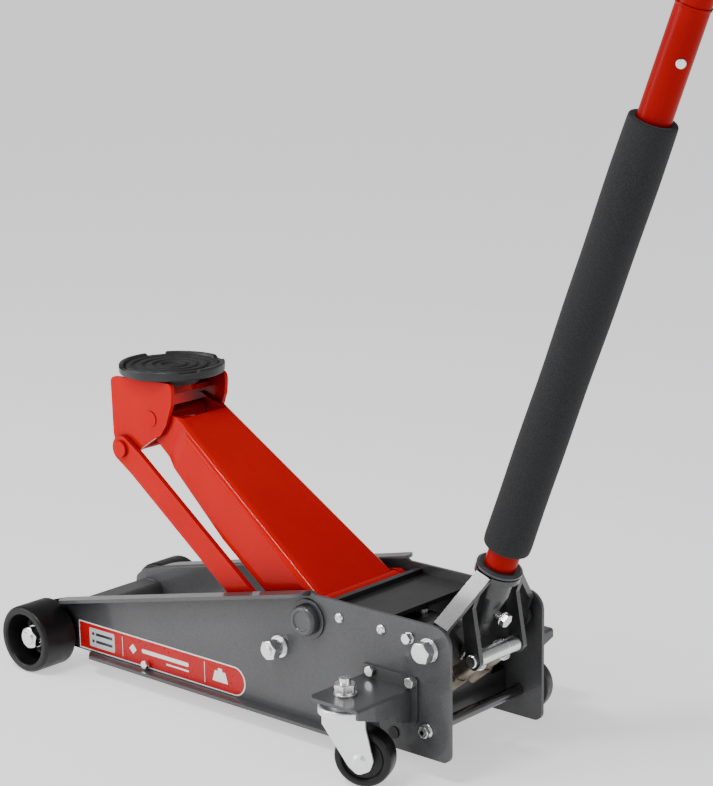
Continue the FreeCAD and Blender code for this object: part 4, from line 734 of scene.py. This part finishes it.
parts = []
for sgn in (1, -1):
    parts.append(hex_mesh(P(-259.0, sgn * 84.0, 142.0), (0, sgn, 0), 21.0, 11.0, 10.0))
    parts.append(washer_mesh(P(-259.0, sgn * 79.02, 142.0), (0, sgn, 0), 12.6, 5.9, 2.0))
    parts.append(washer_mesh(P(-259.0, sgn * 81.2, 142.0), (0, sgn, 0), 10.2, 5.9, 2.7))
    parts.append(lathe_mesh(round_profile([(0.01, -17.0, 0), (5.6, -17.0, 0.4), (5.95, -16.4, 0.3), (5.95, 5.5, 0), (0.01, 5.5, 0)], 0.2), P(-259.0, sgn * 79.0, 142.0), (0, sgn, 0), 40))
    parts.append(lathe_mesh(round_profile([(0.01, -16.4, 0), (8.5, -16.4, 0.6), (8.5, -13.8, 0.3), (0.01, -13.8, 0)], 0.2), P(-259.0, sgn * 79.0, 142.0), (0, sgn, 0), 40))
v, f = merge(parts)
add("yoke_bolts_cut", v, f, "zinc", "chassis", ("yoke_pivot_bolts",), angle=25)

# plungers: plated flange and a bronze cup that slides into its barrel
PD = Vector((math.cos(math.radians(40.0)), 0.0, -math.sin(math.radians(40.0))))
caps, cups = [], []
for y in (1, -1):
    q0 = P(-259.0, y * 20.0, 142.0) - Vector((math.sin(math.radians(40.0)), 0.0, math.cos(math.radians(40.0)))) * 0.0283
    cap = round_profile([(0.01, 2.4, 0), (10.9, 2.4, 0.7), (11.5, 3.1, 0.3), (11.5, 5.1, 0.5), (10.9, 5.8, 0.4), (9.02, 5.9, 0), (0.01, 5.9, 0)], 0.3, 4)
    caps.append(lathe_mesh(cap, q0, PD, 72))
    cup = round_profile([(9.0, 5.8, 0), (9.0, 8.0, 0), (9.0, 9.2, 0.4), (8.75, 9.7, 0.3), (9.0, 10.2, 0.4), (9.0, 31.4, 0.4), (8.6, 32.0, 0.2), (8.2, 32.0, 0.1), (8.2, 5.85, 0)], 0.2, 3)
    cups.append(lathe_mesh(cup, q0, PD, 72))
    cups.append(lathe_mesh([(0.01, 5.8), (5.98, 5.8), (5.98, 38.8), (5.5, 39.2), (0.01, 39.2)], q0, PD, 48))
v, f = merge(caps)
add("plunger_caps_turned", v, f, "zinc", "plungers", ("pump_plungers",), angle=35)
v, f = merge(cups)
add("plunger_cups_drawn", v, f, "brass", "plungers", angle=35)

# return springs: round wire, close-wound at both ends, set between cup and barrel
S0, S_LEN, S_TURNS, S_R, S_WIRE = 6.8, 47.6, 7.0, 7.2, 0.7
side = Vector((0.0, 1.0, 0.0))
up_ = PD.cross(side)
parts = []
for y in (1, -1):
    q0 = P(-259.0, y * 20.0, 142.0) - Vector((math.sin(math.radians(40.0)), 0.0, math.cos(math.radians(40.0)))) * 0.0283
    rows, wire = int(S_TURNS * 36), 12
    verts, faces = [], []
    for i in range(rows + 1):
        turn = S_TURNS * i / rows
        # the first and last turns lie flat against each other
        if turn < 1.0:
            h = turn * 1.5
        elif turn > S_TURNS - 1.0:
            h = S_LEN - 2 * S_WIRE - (S_TURNS - turn) * 1.5
        else:
            h = 1.5 + (turn - 1.0) / (S_TURNS - 2.0) * (S_LEN - 2 * S_WIRE - 3.0)
        a = 2 * math.pi * turn
        out_ = side * math.cos(a) + up_ * math.sin(a)
        for k in range(wire):
            b = 2 * math.pi * k / wire
            r = (S_R + S_WIRE * math.cos(b)) / 1000.0
            verts.append(q0 + PD * ((S0 + S_WIRE + h + S_WIRE * math.sin(b)) / 1000.0) + out_ * r)
    for i in range(rows):
        for k in range(wire):
            k2 = (k + 1) % wire
            faces.append((i * wire + k, i * wire + k2, (i + 1) * wire + k2, (i + 1) * wire + k))
    faces.append(tuple(reversed(range(wire))))
    faces.append(tuple(rows * wire + k for k in range(wire)))
    parts.append((verts, faces))
v, f = merge(parts)
spring_piece = add("plunger_springs_wound", v, f, "steel", "chassis", ("plunger_springs",), angle=60)
q0 = P(-259.0, 0.0, 142.0) - Vector((math.sin(math.radians(40.0)), 0.0, math.cos(math.radians(40.0)))) * 0.0283
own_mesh(spring_piece)

# domed deck screws with a cross recess
parts = []
for sgn in (1, -1):
    for x in (-137.0, -195.0):
        def recess(r, h, a, k):
            if h > 1.2 and r < 3.4:
                d = min(abs(math.sin(2 * (a + 0.4))), 1.0)
                h -= 1.3 * max(0.0, 1.0 - d * r * 1.2)
            return r, h
        sp = round_profile([(0.01, -11.9, 0), (2.95, -11.9, 0.3), (2.95, 0.0, 0), (5.7, 0.0, 0.3), (5.7, 1.0, 0.8), (4.4, 2.4, 1.2), (2.8, 2.9, 0.6), (1.6, 3.0, 0.2), (0.8, 3.0, 0), (0.01, 3.0, 0)], 0.3, 4)
        parts.append(lathe_mesh(sp, P(x, sgn * 79.0, 150.0), (0, sgn, 0), 48, recess))
v, f = merge(parts)
add("deck_screws_domed", v, f, "zinc", "chassis", ("deck_screws",), angle=35)

# pivot caps with a rolled lip, on painted washers
parts = []
for sgn in (1, -1):
    parts.append(washer_mesh(P(-94.0, sgn * 79.05, 140.0), (0, sgn, 0), 22.0, 12.1, 2.0, 80))
    cpp = round_profile([(12.15, 81.2, 0), (17.0, 81.2, 0.5), (17.0, 89.0, 1.6), (15.2, 91.2, 1.2), (13.6, 92.3, 0.6), (11.4, 92.2, 0.5), (10.2, 90.6, 0.8), (0.01, 90.4, 0), (0.01, 86.2, 0), (12.15, 86.2, 0)], 0.4, 4)
    parts.append(lathe_mesh(cpp, P(-94.0, 0.0, 140.0), (0, sgn, 0), 80))
v, f = merge(parts)
add("arm_pivot_caps_pressed", v, f, "grey", "chassis", ("arm_pivot_caps",), angle=35)

# ------------------------------------------------------------------ label strips: layered print, plain marks only


def strip_outline(x0, x1, z0, z1, n=24):
    """Rectangle whose rear (low x) end is half round."""
    r = (z1 - z0) / 2.0
    cz = (z0 + z1) / 2.0
    pts_ = [(x1, z0), (x1, z1)]
    for i in range(n + 1):
        a = math.pi / 2 + math.pi * i / n
        pts_.append((x0 + r + r * math.cos(a), cz + r * math.sin(a)))
    return pts_


def plate_mesh(outline, y0, y1, sgn):
    verts, faces = [], []
    n = len(outline)
    for y in (y0, y1):
        for x, z in outline:
            verts.append(P(x, sgn * y, z))
    faces.append(tuple(range(n)))
    faces.append(tuple(range(2 * n - 1, n - 1, -1)))
    for i in range(n):
        j = (i + 1) % n
        faces.append((i, j, n + j, n + i))
    return verts, faces


for side, sgn in (("left", 1), ("right", -1)):
    body = "chassis"
    layers = [("ink_white", strip_outline(3.0, 275.0, 26.0, 60.0), 79.05, 79.50),
              ("label", strip_outline(4.6, 273.6, 27.4, 58.6), 79.05, 79.58)]

    def rect(x0, x1, z0, z1, cut=0.0):
        if cut:
            return [(x0 + cut, z0), (x1 - cut, z0), (x1, z0 + cut), (x1, z1 - cut), (x1 - cut, z1), (x0 + cut, z1), (x0, z1 - cut), (x0, z0 + cut)]
        return [(x0, z0), (x1, z0), (x1, z1), (x0, z1)]
    layers += [("ink_silver", rect(214.0, 257.0, 31.5, 54.5, 1.5), 79.05, 79.64)]
    for z in (37.0, 46.0):
        layers += [("ink_black", rect(218.0, 246.0, z, z + 3.4), 79.05, 79.69), ("ink_black", rect(248.5, 252.5, z, z + 3.4), 79.05, 79.69)]
    layers += [("ink_white", rect(200.2, 200.9, 31.0, 55.0), 79.05, 79.62), ("ink_white", rect(66.0, 66.7, 31.0, 55.0), 79.05, 79.62)]
    # plain marks: a diamond, two bars, and a weight
    layers += [("ink_white", [(183.0, 38.0), (189.0, 44.0), (183.0, 50.0), (177.0, 44.0)], 79.05, 79.62)]
    layers += [("ink_white", rect(92.0, 168.0, 42.6, 47.4, 1.2), 79.05, 79.62), ("ink_white", rect(92.0, 128.0, 36.6, 38.6), 79.05, 79.62)]
    layers += [("ink_white", [(30.0, 36.5), (54.0, 36.5), (50.0, 49.0), (34.0, 49.0)], 79.05, 79.62), ("ink_white", rect(38.5, 45.5, 49.0, 52.6, 1.2), 79.05, 79.62)]
    verts, faces, fm = [], [], []
    kinds = ["label", "ink_white", "ink_black", "ink_silver"]
    for kind, outline, y0, y1 in layers:
        vv, ff = plate_mesh(outline, y0, y1, sgn)
        o = len(verts)
        verts += vv
        faces += [tuple(i + o for i in q) for q in ff]
        fm += [kinds.index(kind)] * len(ff)
    me_ob = add("label_strip_" + side, verts, faces, "label", body, ("label_plates",), smooth=False, mats=kinds, face_mats=fm)

# ------------------------------------------------------------------ welds
WELDS = {"chassis": [], "arm": [], "bracket": [], "yoke": [], "handle": []}
for sgn in (1, -1):
    # pivot tube to arm wall, outside
    WELDS["arm"].append(bead_mesh(ring_path(A0 + YV * (sgn * 0.0640), YV, 19.4, 40), 1.5, closed=True))
    # cross plate to side plates
    WELDS["chassis"].append(bead_mesh([P(326.0, sgn * 74.6, 61.9), P(305.0, sgn * 74.6, 62.0)], 1.6))
    # bracket top plate to ears
    WELDS["bracket"].append(bead_mesh([P(170.0, sgn * 39.6, 333.8), P(237.0, sgn * 39.6, 333.8)], 1.5))
    # yoke strap to its ring
    x0, x1 = on_handle(71.0, -8.5, sgn * 24.4), on_handle(71.0, 8.5, sgn * 24.4)
    WELDS["yoke"].append(bead_mesh([x0, x1], 1.5))
for body, beads in WELDS.items():
    if not beads:
        continue
    v, f = merge(beads)
    kind = {"arm": "red", "bracket": "red"}.get(body, "grey")
    add("weld_" + body, v, f, kind, body, angle=60)
